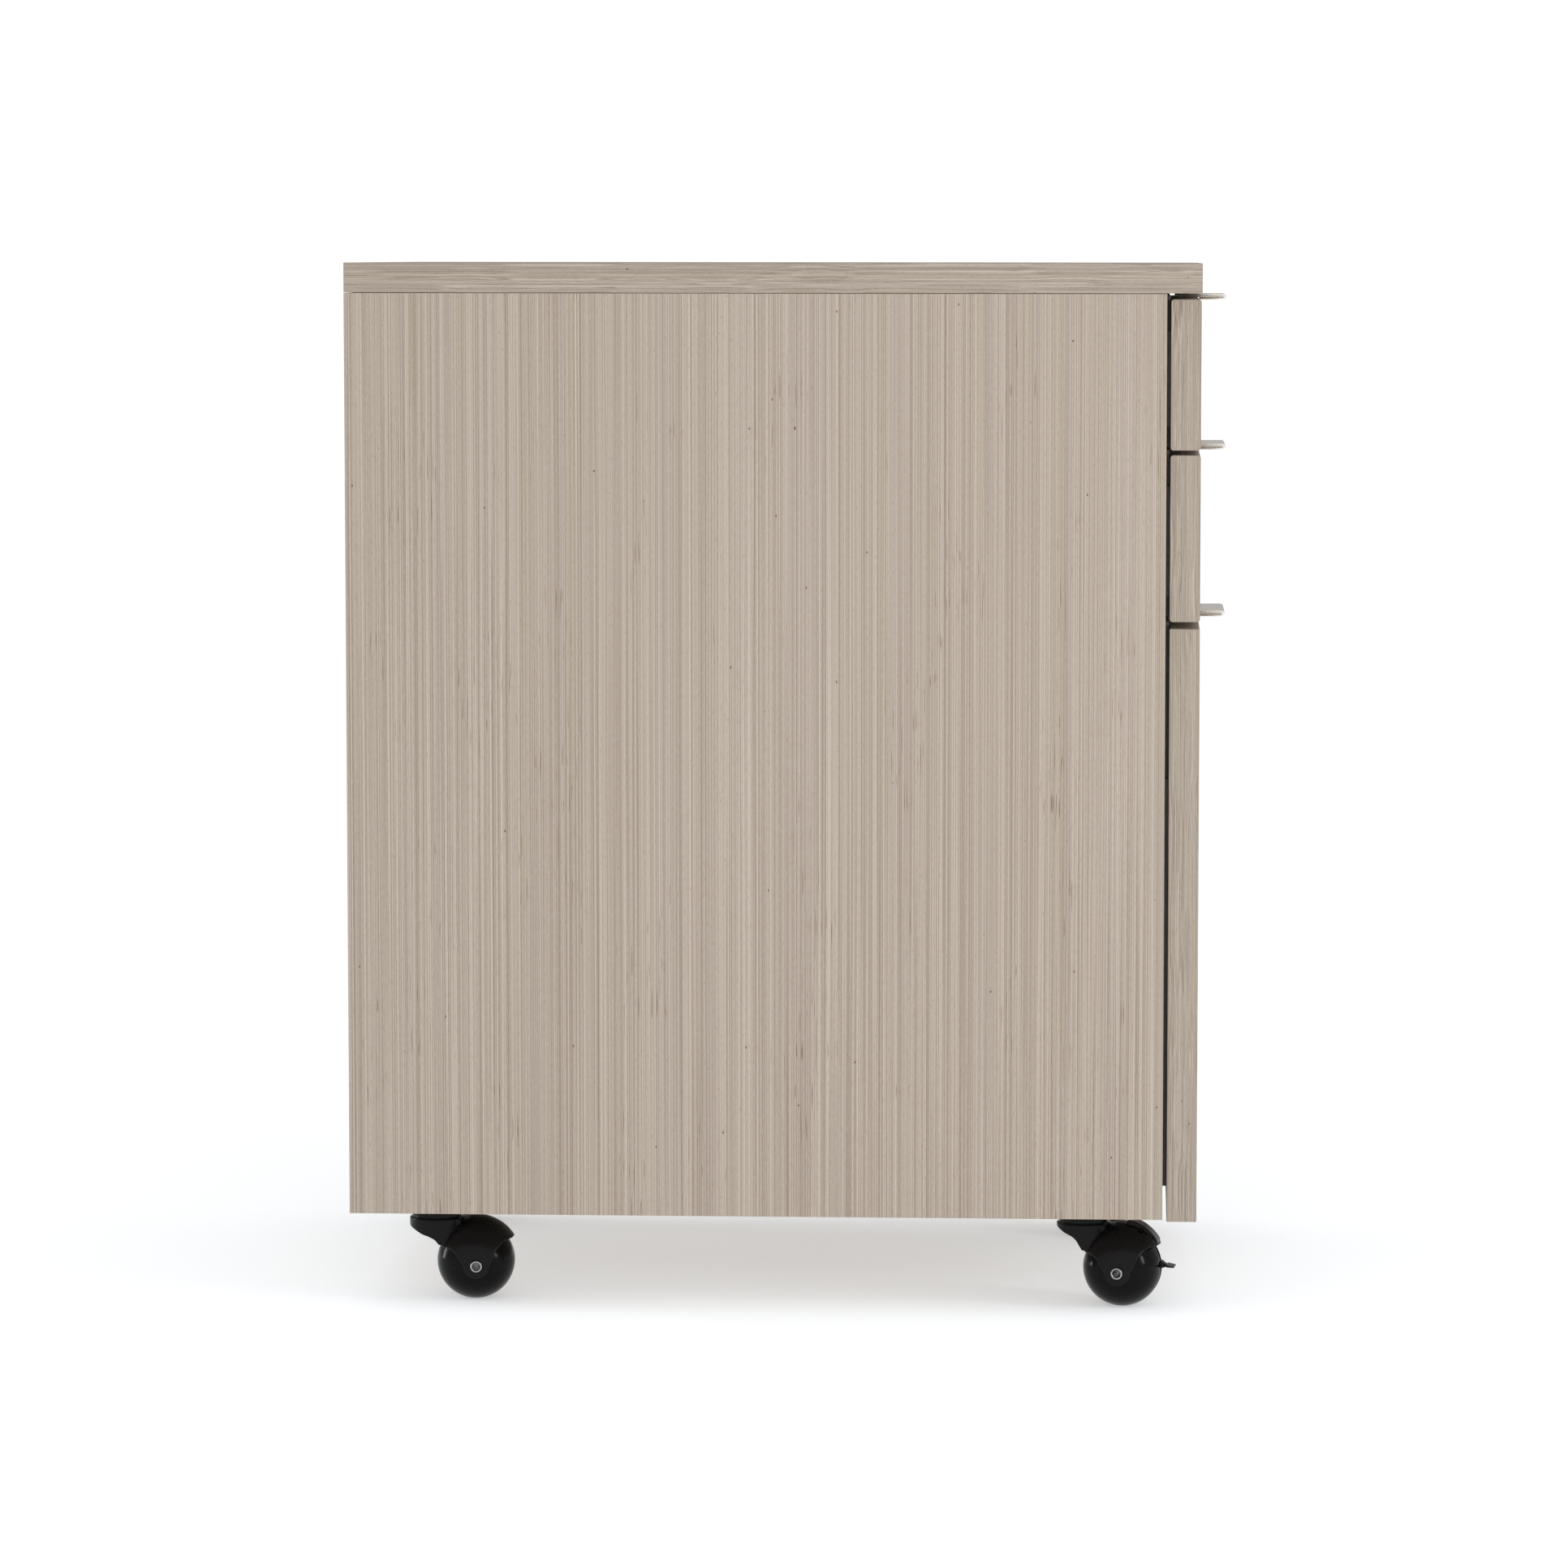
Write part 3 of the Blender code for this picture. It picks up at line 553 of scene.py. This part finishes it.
def cross_recess(radius, depth, top):
    """A cutter for a cross recess, along Z, its mouth at height top."""
    arm = box_mesh("arm", (-radius, -radius * 0.22, top - depth), (radius, radius * 0.22, top + depth))
    other = arm.copy()
    other.transform(Matrix.Rotation(pi / 2, 4, "Z"))
    return combined(arm, other, "UNION")


def countersunk_mesh(radius, shank, length):
    """A countersunk screw along Z with its flat head's top at 0."""
    rim = 0.15 * MM
    profile = [(0, 0), (0, radius - rim), (-rim, radius)]
    profile += [(-(radius - shank), shank), (-length, shank), (-length, 0)]
    mesh = turned_mesh("screw", profile, 32, closed=False)
    mesh.transform(X_TO_Z)
    return combined(mesh, cross_recess(radius * 0.62, 1.0 * MM, 0.0), "DIFFERENCE")


def pan_mesh(radius, height):
    """A pan head along Z, its underside at 0."""
    dome = arc(1.0, 0.0, pi / 2, 6)
    profile = [(0, 0)] + [(height * up, radius * across) for across, up in dome[:-1]]
    profile += [(height, 0)]
    mesh = turned_mesh("screw", profile, 28, closed=False)
    mesh.transform(X_TO_Z)
    return combined(mesh, cross_recess(radius * 0.55, height * 0.6, height), "DIFFERENCE")


def oriented(mesh, direction, place):
    """A copy of a Z-axis mesh turned to point along direction, at place."""
    copy = mesh.copy()
    turn = Vector((0, 0, 1)).rotation_difference(Vector(direction)).to_matrix().to_4x4()
    copy.transform(Matrix.Translation(place) @ turn)
    return copy


PAN_SMALL = pan_mesh(3.4 * MM, 1.5 * MM)
PAN_PLATE = pan_mesh(3.6 * MM, 2.0 * MM)


# Pulls --------------------------------------------------------------------------

PULL_LIP = 3.8 * MM
SLIT = 0.14 * MM
SCREW_SPACING = 52 * MM
# The plate's thickness, the inner face of its hem behind the nose, the hem's
# clearance to the front's face, and the screws' distance behind that face.
PULL_PLATE = 2.3 * MM
HEM_INSIDE = 2.4 * MM
HEM_CLEARANCE = 0.3 * MM
SCREW_BEHIND = 9.5 * MM
SCREW_HOLE = 2.1 * MM


def make_pull(drawer):
    """A nickel plate on the front's top edge, hemmed under where it projects."""
    node = f"{drawer}_drawer_pull"
    low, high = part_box(node)
    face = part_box(f"{drawer}_drawer_front")[0].y
    nose = PULL_LIP / 2
    under = high.z - PULL_PLATE
    centre = (low.y + nose, high.z - nose)
    outline = [(high.y, under), (high.y, high.z)]
    outline += arc(nose, pi / 2, 3 * pi / 2, 14, centre)
    hem_end = face - HEM_CLEARANCE
    fold = low.y + HEM_INSIDE
    outline += [(hem_end, low.z), (hem_end, under - SLIT), (fold, under - SLIT), (fold, under)]
    mesh = prism_mesh(node, outline, low.x, high.x)
    mesh = bevelled(mesh, 0.22 * MM, 2, angle=40)
    middle = face + SCREW_BEHIND
    cone = in_millimetres([(-1.7, 0), (-1.7, 2.1), (0.3, 4.1), (0.3, 0)])
    for side in (-1, 1):
        x = side * SCREW_SPACING / 2
        hole = bar_mesh("hole", SCREW_HOLE, -1, 1, 24, axis="Z")
        mesh = combined(mesh, shifted(hole, x, middle, high.z), "DIFFERENCE")
        sink = turned_mesh("sink", cone, 24, False)
        sink.transform(X_TO_Z)
        mesh = combined(mesh, shifted(sink, x, middle, high.z), "DIFFERENCE")
    piece(f"{drawer}_pull_plate", mesh, (NICKEL,), f"{drawer}_drawer", 35, (node,))
    screw = countersunk_mesh(3.6 * MM, 1.9 * MM, 2.2 * MM)
    for name, side in SIDES:
        place = (side * SCREW_SPACING / 2, middle, high.z - 0.12 * MM)
        head = oriented(screw, (0, 0, 1), place)
        piece(f"{drawer}_pull_screw_{name}", head, (SCREW_STEEL,), f"{drawer}_drawer", 30)


def make_pulls():
    for drawer in DRAWERS:
        make_pull(drawer)


# Slides -------------------------------------------------------------------------

# Where the screws sit along a member, as shares of the cabinet member's length,
# and how far their heads' undersides are inside the member's outer face.
CABINET_SCREWS = (0.08, 0.42, 0.90)
DRAWER_SCREWS = (0.12, 0.55, 0.86)
WEB_THICKNESS = 1.2 * MM


def make_slide_fittings():
    """Screws and end stops of the slides, on the CAD members."""
    for drawer in DRAWERS:
        for name, side in SIDES:
            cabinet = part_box(f"{drawer}_cabinet_slide_{name}")
            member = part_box(f"{drawer}_drawer_slide_{name}")
            height = (cabinet[0].z + cabinet[1].z) / 2
            length = cabinet[1].y - cabinet[0].y
            web = min(abs(cabinet[0].x), abs(cabinet[1].x))
            outer = max(abs(cabinet[0].x), abs(cabinet[1].x))
            inner = min(abs(member[0].x), abs(member[1].x))
            for index, share in enumerate(CABINET_SCREWS):
                y = cabinet[0].y + share * length
                place = (side * (outer - WEB_THICKNESS), y, height)
                head = oriented(PAN_SMALL, (-side, 0, 0), place)
                piece(
                    f"{drawer}_cabinet_slide_screw_{name}_{index + 1}", head,
                    (SCREW_STEEL,), "cabinet", 30,
                )
            for index, share in enumerate(DRAWER_SCREWS):
                y = member[0].y + share * length
                place = (side * (inner + WEB_THICKNESS), y, height)
                head = oriented(PAN_SMALL, (side, 0, 0), place)
                piece(
                    f"{drawer}_drawer_slide_screw_{name}_{index + 1}", head,
                    (SCREW_STEEL,), f"{drawer}_drawer", 30,
                )
            make_stop(drawer, name, side, cabinet, web)


def make_stop(drawer, name, side, cabinet, web):
    """The soft bumper at the rear end of a cabinet member."""
    half = (cabinet[1].z - cabinet[0].z) / 2 - 1.8 * MM
    height = (cabinet[0].z + cabinet[1].z) / 2
    outer = max(abs(cabinet[0].x), abs(cabinet[1].x)) - 1.5 * MM
    near, far = sorted((side * (web + 0.4 * MM), side * outer))
    low = (near, cabinet[1].y - 4.5 * MM, height - half)
    high = (far, cabinet[1].y - 0.6 * MM, height + half)
    mesh = bevelled(box_mesh("stop", low, high), 0.7 * MM, 3)
    piece(f"{drawer}_slide_stop_{name}", mesh, (HOOD_PLASTIC,), "cabinet")


# Casters --------------------------------------------------------------------------

# Heights and places are from the ball's centre. The horn is the disc behind the
# hood that carries the swivel seat, and the neck joins it to the hood.
BALL_RADIUS = 25 * MM
BALL_FLAT = 24 * MM
GROOVE_HALF = 3.4 * MM
GROOVE_FLOOR = 18 * MM
BORE_RADIUS = 3.4 * MM
TRAIL = 25 * MM
HOOD_OUTER = 29.3 * MM
HOOD_INNER = 26.5 * MM
HORN_RADIUS = 17.5 * MM
HORN_TOP = 33 * MM
HORN_STEP = 28.5 * MM
HORN_LOW = 12 * MM
SEAT_INSET = 1.5 * MM
SEAT_LAP = 0.5 * MM
NECK_LOW = (-12 * MM, 10 * MM, 6 * MM)
NECK_HIGH = (12 * MM, TRAIL, 28.2 * MM)
BOSS_RADIUS = 5.5 * MM
SOCKET_RADIUS = 4.4 * MM
CUT_REACH = 40 * MM
# The rivet's rolled rim, as (distance from the end, radius).
RIVET_RIM = (
    (2.60, 2.45), (1.00, 2.47), (0.50, 2.55), (0.16, 2.76), (0.00, 3.08), (0.12, 3.42),
    (0.40, 3.66), (0.66, 3.78), (0.90, 3.70), (0.95, 3.00),
)
RIVET_END = 30.8 * MM
RIVET_HOLE = 2.6 * MM
BRAKE_RADIUS = 27.6 * MM
BRAKE_ANGLE = radians(62)
BRAKE_PIVOT = (BRAKE_RADIUS * cos(BRAKE_ANGLE), BRAKE_RADIUS * sin(BRAKE_ANGLE))
SLOT_REACH = radians(7.5)
LEVER_HALF = 2.7 * MM
LEVER_OUTER = 24.4 * MM
LEVER_INNER = 21.7 * MM
LEVER_TOP = radians(67)
WEB_REACH = radians(3.2)
TOE_HALF = 6 * MM
RIDGE_HALF = 7.4 * MM
# The ridge over the lever, as (degrees above ahead, millimetres from the ball's centre).
RIDGE = (
    (84, 30.7), (79, 31.1), (74, 31.3), (68, 31.15), (61, 30.8), (54, 30.4), (48, 30.1), (42, 29.8),
    (36, 29.4),
)
LUG_RADIUS = 8.2 * MM
SOCKET_FLOOR = 23 * MM
PLATE_THICKNESS = 2.5 * MM
PLATE_HOLE_INSET = 4.8 * MM
HOOD_VOXEL = 0.42 * MM
LEVER_VOXEL = 0.2 * MM

# The hood's lower edge, as (ahead of, above) the ball's centre: under the horn,
# down to the lug round the rivet, and up again to the visor's tip ahead.
HORN_UNDERSIDE = ((-60, 23), (-43, 23), (-39, 20.8), (-34.5, 18.4), (-30.5, 17.2), (-26.5, 15.2))
BRAKED_HORN_UNDERSIDE = (
    (-60, 26.2), (-43, 26.2), (-39.5, 24.5), (-36, 22.7), (-33, 21.6), (-30, 20.3), (-27.6, 18.0),
    (-26.2, 15.6),
)
LUG_REAR = ((-24.3, 12.4), (-22.6, 10.9), (-18.5, 10.6), (-14.2, 8.4), (-11.8, 4.8))
VISOR_EDGE = (
    (10.4, 3.4), (11.5, 6.8), (13.6, 10.4), (16.4, 13.2), (19.0, 14.6), (24.3, 15.2), (60, 16),
)


def caster_matrix(corner):
    """From a caster's own axes (lateral X, ahead -Y, up Z, at the ball's centre)
    to the frame's."""
    joint = JOINTS[f"roll_{corner}"]
    lateral = Vector(joint["axis"]).normalized()
    up = Vector((0, 0, 1))
    behind = up.cross(lateral)
    turn = Matrix((lateral, behind, up)).transposed().to_4x4()
    return Matrix.Translation(joint["pos_m"]) @ turn


def hood_mesh(braked):
    """The hood about the ball's centre, softened like a moulding."""
    body = ball_mesh("hood", HOOD_OUTER, 96)
    disc = bar_mesh("disc", HORN_RADIUS, HORN_LOW, HORN_STEP, 72, axis="Z")
    body = combined(body, shifted(disc, y=TRAIL), "UNION")
    seat = bar_mesh("seat", HORN_RADIUS - SEAT_INSET, HORN_STEP - SEAT_LAP, HORN_TOP, 72, axis="Z")
    body = combined(body, shifted(seat, y=TRAIL), "UNION")
    body = combined(body, box_mesh("neck", NECK_LOW, NECK_HIGH), "UNION")
    boss = bar_mesh("boss", BOSS_RADIUS, -HOOD_OUTER, HOOD_OUTER, 48)
    body = combined(body, boss, "UNION")
    if braked:
        ridge = [(radius * cos(radians(at)), radius * sin(radians(at))) for at, radius in RIDGE]
        ridge = in_millimetres(ridge)
        ridge += arc(HOOD_INNER, radians(RIDGE[-1][0]), radians(RIDGE[0][0]), 12)
        body = combined(body, prism_mesh("ridge", ahead(ridge), -RIDGE_HALF, RIDGE_HALF), "UNION")
    body = combined(body, ball_mesh("hollow", HOOD_INNER, 96), "DIFFERENCE")
    edge = in_millimetres(BRAKED_HORN_UNDERSIDE if braked else HORN_UNDERSIDE)
    edge += in_millimetres(LUG_REAR)
    edge += arc(LUG_RADIUS, pi, 2 * pi, 20)
    edge += in_millimetres(VISOR_EDGE)
    edge += in_millimetres([(60, -40), (-60, -40)])
    body = combined(body, prism_mesh("below", ahead(edge), -CUT_REACH, CUT_REACH), "DIFFERENCE")
    body = combined(body, bar_mesh("bore", BORE_RADIUS, -CUT_REACH, CUT_REACH, 40), "DIFFERENCE")
    socket = bar_mesh("socket", SOCKET_RADIUS, SOCKET_FLOOR, CUT_REACH, 40, axis="Z")
    body = combined(body, shifted(socket, y=TRAIL), "DIFFERENCE")
    if braked:
        upper, lower = BRAKE_ANGLE + SLOT_REACH, BRAKE_ANGLE - SLOT_REACH
        slot = arc(BRAKE_RADIUS + 2.2 * MM, upper, lower, 6)
        slot += arc(HOOD_INNER - 2 * MM, lower, upper, 6)
        half = LEVER_HALF + 0.6 * MM
        body = combined(body, prism_mesh("slot", ahead(slot), -half, half), "DIFFERENCE")
        forward, up = BRAKE_PIVOT
        pin_bore = bar_mesh("pin_bore", 1.3 * MM, -CUT_REACH, CUT_REACH, 24)
        pin_bore = shifted(pin_bore, y=-forward, z=up)
        body = combined(body, pin_bore, "DIFFERENCE")
    return moulded(body, HOOD_VOXEL, 6)


def wheel_mesh(grooved):
    """The ball with its moulded seam or brake groove, and dished hub faces."""
    middle = GROOVE_HALF if grooved else 0.0
    radius = hypot(BALL_RADIUS, middle)
    half = []
    if grooved:
        half.append((GROOVE_HALF, GROOVE_FLOOR))
        start = atan2(BALL_RADIUS, middle)
    else:
        # A fine parting line round the widest turn.
        seam = 0.35 * MM
        half.append((0.0, BALL_RADIUS - 0.12 * MM))
        start = atan2(sqrt(BALL_RADIUS**2 - seam**2), seam)
    pole = sqrt(radius**2 - BALL_FLAT**2)
    half += arc(radius, start, atan2(pole, BALL_FLAT) + 0.02, 40)
    half += arc(0.6 * MM, 0.3, -0.2, 4, (BALL_FLAT - 0.6 * MM, pole - 0.1 * MM))
    half += [(BALL_FLAT, 5.6 * MM), (BALL_FLAT - 0.5 * MM, 5.2 * MM), (BALL_FLAT - 0.5 * MM, BORE_RADIUS)]
    mirrored = [(-along, across) for along, across in reversed(half)]
    if not grooved:
        mirrored.pop()
    return turned_mesh("wheel", mirrored + half, 128)


def rivet_mesh():
    """A hollow rivet along X, its rims rolled over. Its inside takes a near-black steel, painted shade for
    the bore.
    """
    half = [(RIVET_END - inset, radius) for inset, radius in in_millimetres(RIVET_RIM)]
    mirrored = [(-along, across) for along, across in reversed(half)]
    mesh = turned_mesh("rivet", half + mirrored, 64)
    # Faces inside the hole take the second material, painted shade.
    for face in mesh.polygons:
        middle = face.center
        face.material_index = int(hypot(middle.y, middle.z) < RIVET_HOLE)
    return mesh


def lever_mesh():
    """The brake lever about the ball's centre: hub, arm, neck and toe plate."""
    arm = arc(LEVER_OUTER, LEVER_TOP, radians(11), 28)
    arm += in_millimetres([(25.4, 4.6), (26.4, 4.1), (27.3, 3.2), (28.3, 2.6), (29.7, 2.2)])
    arm += in_millimetres([(29.7, 1.1), (28.2, 0.7), (26.8, 0.2)])
    arm += arc(LEVER_INNER, radians(-4), LEVER_TOP, 28)
    lever = prism_mesh("lever", ahead(arm), -LEVER_HALF, LEVER_HALF)
    upper, lower = BRAKE_ANGLE + WEB_REACH, BRAKE_ANGLE - WEB_REACH
    web = arc(BRAKE_RADIUS, upper, lower, 2)
    web += arc(LEVER_INNER + MM, lower, upper, 2)
    lever = combined(lever, prism_mesh("web", ahead(web), -LEVER_HALF, LEVER_HALF), "UNION")
    forward, up = BRAKE_PIVOT
    hub = shifted(bar_mesh("hub", 1.8 * MM, -LEVER_HALF, LEVER_HALF, 32), y=-forward, z=up)
    lever = combined(lever, hub, "UNION")
    toe = in_millimetres([(28.7, 2.4), (33.8, 1.3), (33.8, 0.6), (28.7, 0.85)])
    lever = combined(lever, prism_mesh("toe", ahead(toe), -TOE_HALF, TOE_HALF), "UNION")
    stubs = shifted(bar_mesh("stubs", 0.9 * MM, -6.6 * MM, 6.6 * MM, 24), y=-forward, z=up)
    return moulded(combined(lever, stubs, "UNION"), LEVER_VOXEL, 2)


def placed(mesh, matrix):
    copy = mesh.copy()
    copy.transform(matrix)
    return copy


def make_casters():
    hoods = {braked: hood_mesh(braked) for braked in (False, True)}
    wheels = {braked: wheel_mesh(braked) for braked in (False, True)}
    rivet = rivet_mesh()
    lever = lever_mesh()
    for corner in CORNERS:
        matrix = caster_matrix(corner)
        braked = corner.startswith("front")
        caster = f"caster_{corner}"
        piece(
            f"{caster}_cover", placed(hoods[braked], matrix), (HOOD_PLASTIC,), caster, 180,
            (f"caster_hood_{corner}",),
        )
        piece(
            f"{caster}_wheel", placed(wheels[braked], matrix), (BALL_PLASTIC,), f"ball_{corner}",
            35, (f"caster_ball_{corner}",),
        )
        # The rivet's second material paints the bore dark as painted shade.
        piece(
            f"{caster}_rivet", placed(rivet, matrix), (RIVET_STEEL, BORE_SHADE_STEEL), caster, 50,
            (f"caster_axle_{corner}",),
        )
        if braked:
            piece(
                f"{caster}_toe_lever", placed(lever, matrix), (HOOD_PLASTIC,), f"brake_{corner}",
                60, (f"brake_lever_{corner}",),
            )
        low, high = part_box(f"caster_plate_{corner}")
        middle = (low + high) / 2
        under = high.z - PLATE_THICKNESS
        inset = (high.x - low.x) / 2 - PLATE_HOLE_INSET
        index = 0
        for x in (-inset, inset):
            for y in (-inset, inset):
                index += 1
                head = oriented(PAN_PLATE, (0, 0, -1), (middle.x + x, middle.y + y, under))
                piece(f"{caster}_plate_screw_{index}", head, (SCREW_STEEL,), "cabinet", 30)


# CAD nodes that stay ---------------------------------------------------------------

def finish_nodes():
    """Better materials for the CAD nodes that are shown as they are."""
    finishes = {"box": DRAWER_BOARD, "steel": SLIDE_STEEL}
    for entry in frame["record"]["subparts"]:
        finish = finishes.get(entry["material_slot"])
        if entry["node"].startswith("caster_plate"):
            finish = PLATE_STEEL
        if finish is None:
            continue
        node = frame["nodes"][entry["node"]]
        for slot in node.material_slots:
            slot.material = finish


# Stage -----------------------------------------------------------------------------

FLOOR_HALF = 14.0
FLOOR_COLOUR = (0.77, 0.80, 0.83, 1.0)
FLOOR_GLOW = 0.40
# The room's brightness towards -X and +X, and as the camera sees it.
ROOM_LEFT = 1.06
ROOM_RIGHT = 0.50
ROOM_SEEN = 1.1


def make_stage():
    """A pale floor that glows a little, as over a light table, in a white room."""
    bm = bmesh.new()
    bmesh.ops.create_grid(bm, x_segments=2, y_segments=2, size=FLOOR_HALF)
    mesh = finished(bm, "floor")
    floor = bpy.data.objects.new("floor", mesh)
    bpy.context.scene.collection.objects.link(floor)
    shader = Shader("floor_white")
    shader.surface.inputs["Base Color"].default_value = FLOOR_COLOUR
    shader.surface.inputs["Roughness"].default_value = 0.9
    shader.surface.inputs["Specular IOR Level"].default_value = 0.0
    shader.surface.inputs["Emission Color"].default_value = (1.0, 1.0, 1.0, 1.0)
    shader.surface.inputs["Emission Strength"].default_value = FLOOR_GLOW
    mesh.materials.append(shader.material)
    bpy.context.scene.world = make_world()


def make_world():
    """A white room, brighter towards -X, that the camera sees as plain white."""
    world = bpy.data.worlds.new("studio")
    world.use_nodes = True
    nodes, links = world.node_tree.nodes, world.node_tree.links
    direction = nodes.new("ShaderNodeTexCoord").outputs["Generated"]
    split = nodes.new("ShaderNodeSeparateXYZ")
    links.new(direction, split.inputs[0])
    fade = nodes.new("ShaderNodeMapRange")
    links.new(split.outputs["X"], fade.inputs["Value"])
    fade.inputs["From Min"].default_value = -1.0
    fade.inputs["To Min"].default_value = ROOM_LEFT
    fade.inputs["To Max"].default_value = ROOM_RIGHT
    camera_only = nodes.new("ShaderNodeMix")
    links.new(nodes.new("ShaderNodeLightPath").outputs["Is Camera Ray"], camera_only.inputs[0])
    links.new(fade.outputs[0], camera_only.inputs[2])
    camera_only.inputs[3].default_value = ROOM_SEEN
    links.new(camera_only.outputs[0], nodes["Background"].inputs["Strength"])
    nodes["Background"].inputs["Color"].default_value = (1.0, 1.0, 1.0, 1.0)
    return world


def soft_box(name, place, target, size, power, shiny=True):
    """An area light aimed at a target. Fill lights don't show in glossy parts."""
    light = bpy.data.lights.new(name, "AREA")
    light.shape = "RECTANGLE"
    light.size, light.size_y = size
    light.energy = power
    obj = bpy.data.objects.new(name, light)
    bpy.context.scene.collection.objects.link(obj)
    obj.location = place
    aim = Vector(target) - Vector(place)
    obj.rotation_euler = aim.to_track_quat("-Z", "Y").to_euler()
    obj.visible_glossy = shiny


def make_lights():
    middle = (0.0, 0.0, 0.3)
    soft_box("key", (-3.6, -0.2, 0.9), (0.0, 0.0, 0.2), (1.6, 1.6), 26, shiny=False)
    soft_box("strip_front", (-1.2, -2.6, 1.0), middle, (0.30, 0.9), 14)
    soft_box("strip_rear", (0.6, 2.8, 0.35), middle, (0.30, 0.9), 12)


CAMERA_PLACE = (-3.976, -0.226, 0.6695)
CAMERA_YAW = radians(2.69)
CAMERA_PITCH = radians(5.21)
CAMERA_ROLL = radians(0.057)


def make_camera():
    """The viewing angle of the reference: square to the left side, from afar."""
    camera = bpy.data.cameras.new("camera")
    camera.lens = 138.5
    camera.sensor_width = 36.0
    camera.clip_end = 100.0
    camera.shift_x = -0.05
    camera.shift_y = 0.0134
    obj = bpy.data.objects.new("camera", camera)
    bpy.context.scene.collection.objects.link(obj)
    level = cos(CAMERA_PITCH)
    sight = Vector((level * cos(CAMERA_YAW), level * sin(CAMERA_YAW), -sin(CAMERA_PITCH)))
    right = Vector((sin(CAMERA_YAW), -cos(CAMERA_YAW), 0.0))
    up = right.cross(sight)
    turn = Matrix((right, up, -sight)).transposed() @ Matrix.Rotation(CAMERA_ROLL, 3, "Z")
    obj.matrix_world = Matrix.Translation(CAMERA_PLACE) @ turn.to_4x4()
    bpy.context.scene.camera = obj
    bpy.context.scene.view_settings.view_transform = "Standard"


make_camera()
make_stage()
make_lights()
make_boards()
make_pulls()
make_slide_fittings()
make_casters()
finish_nodes()
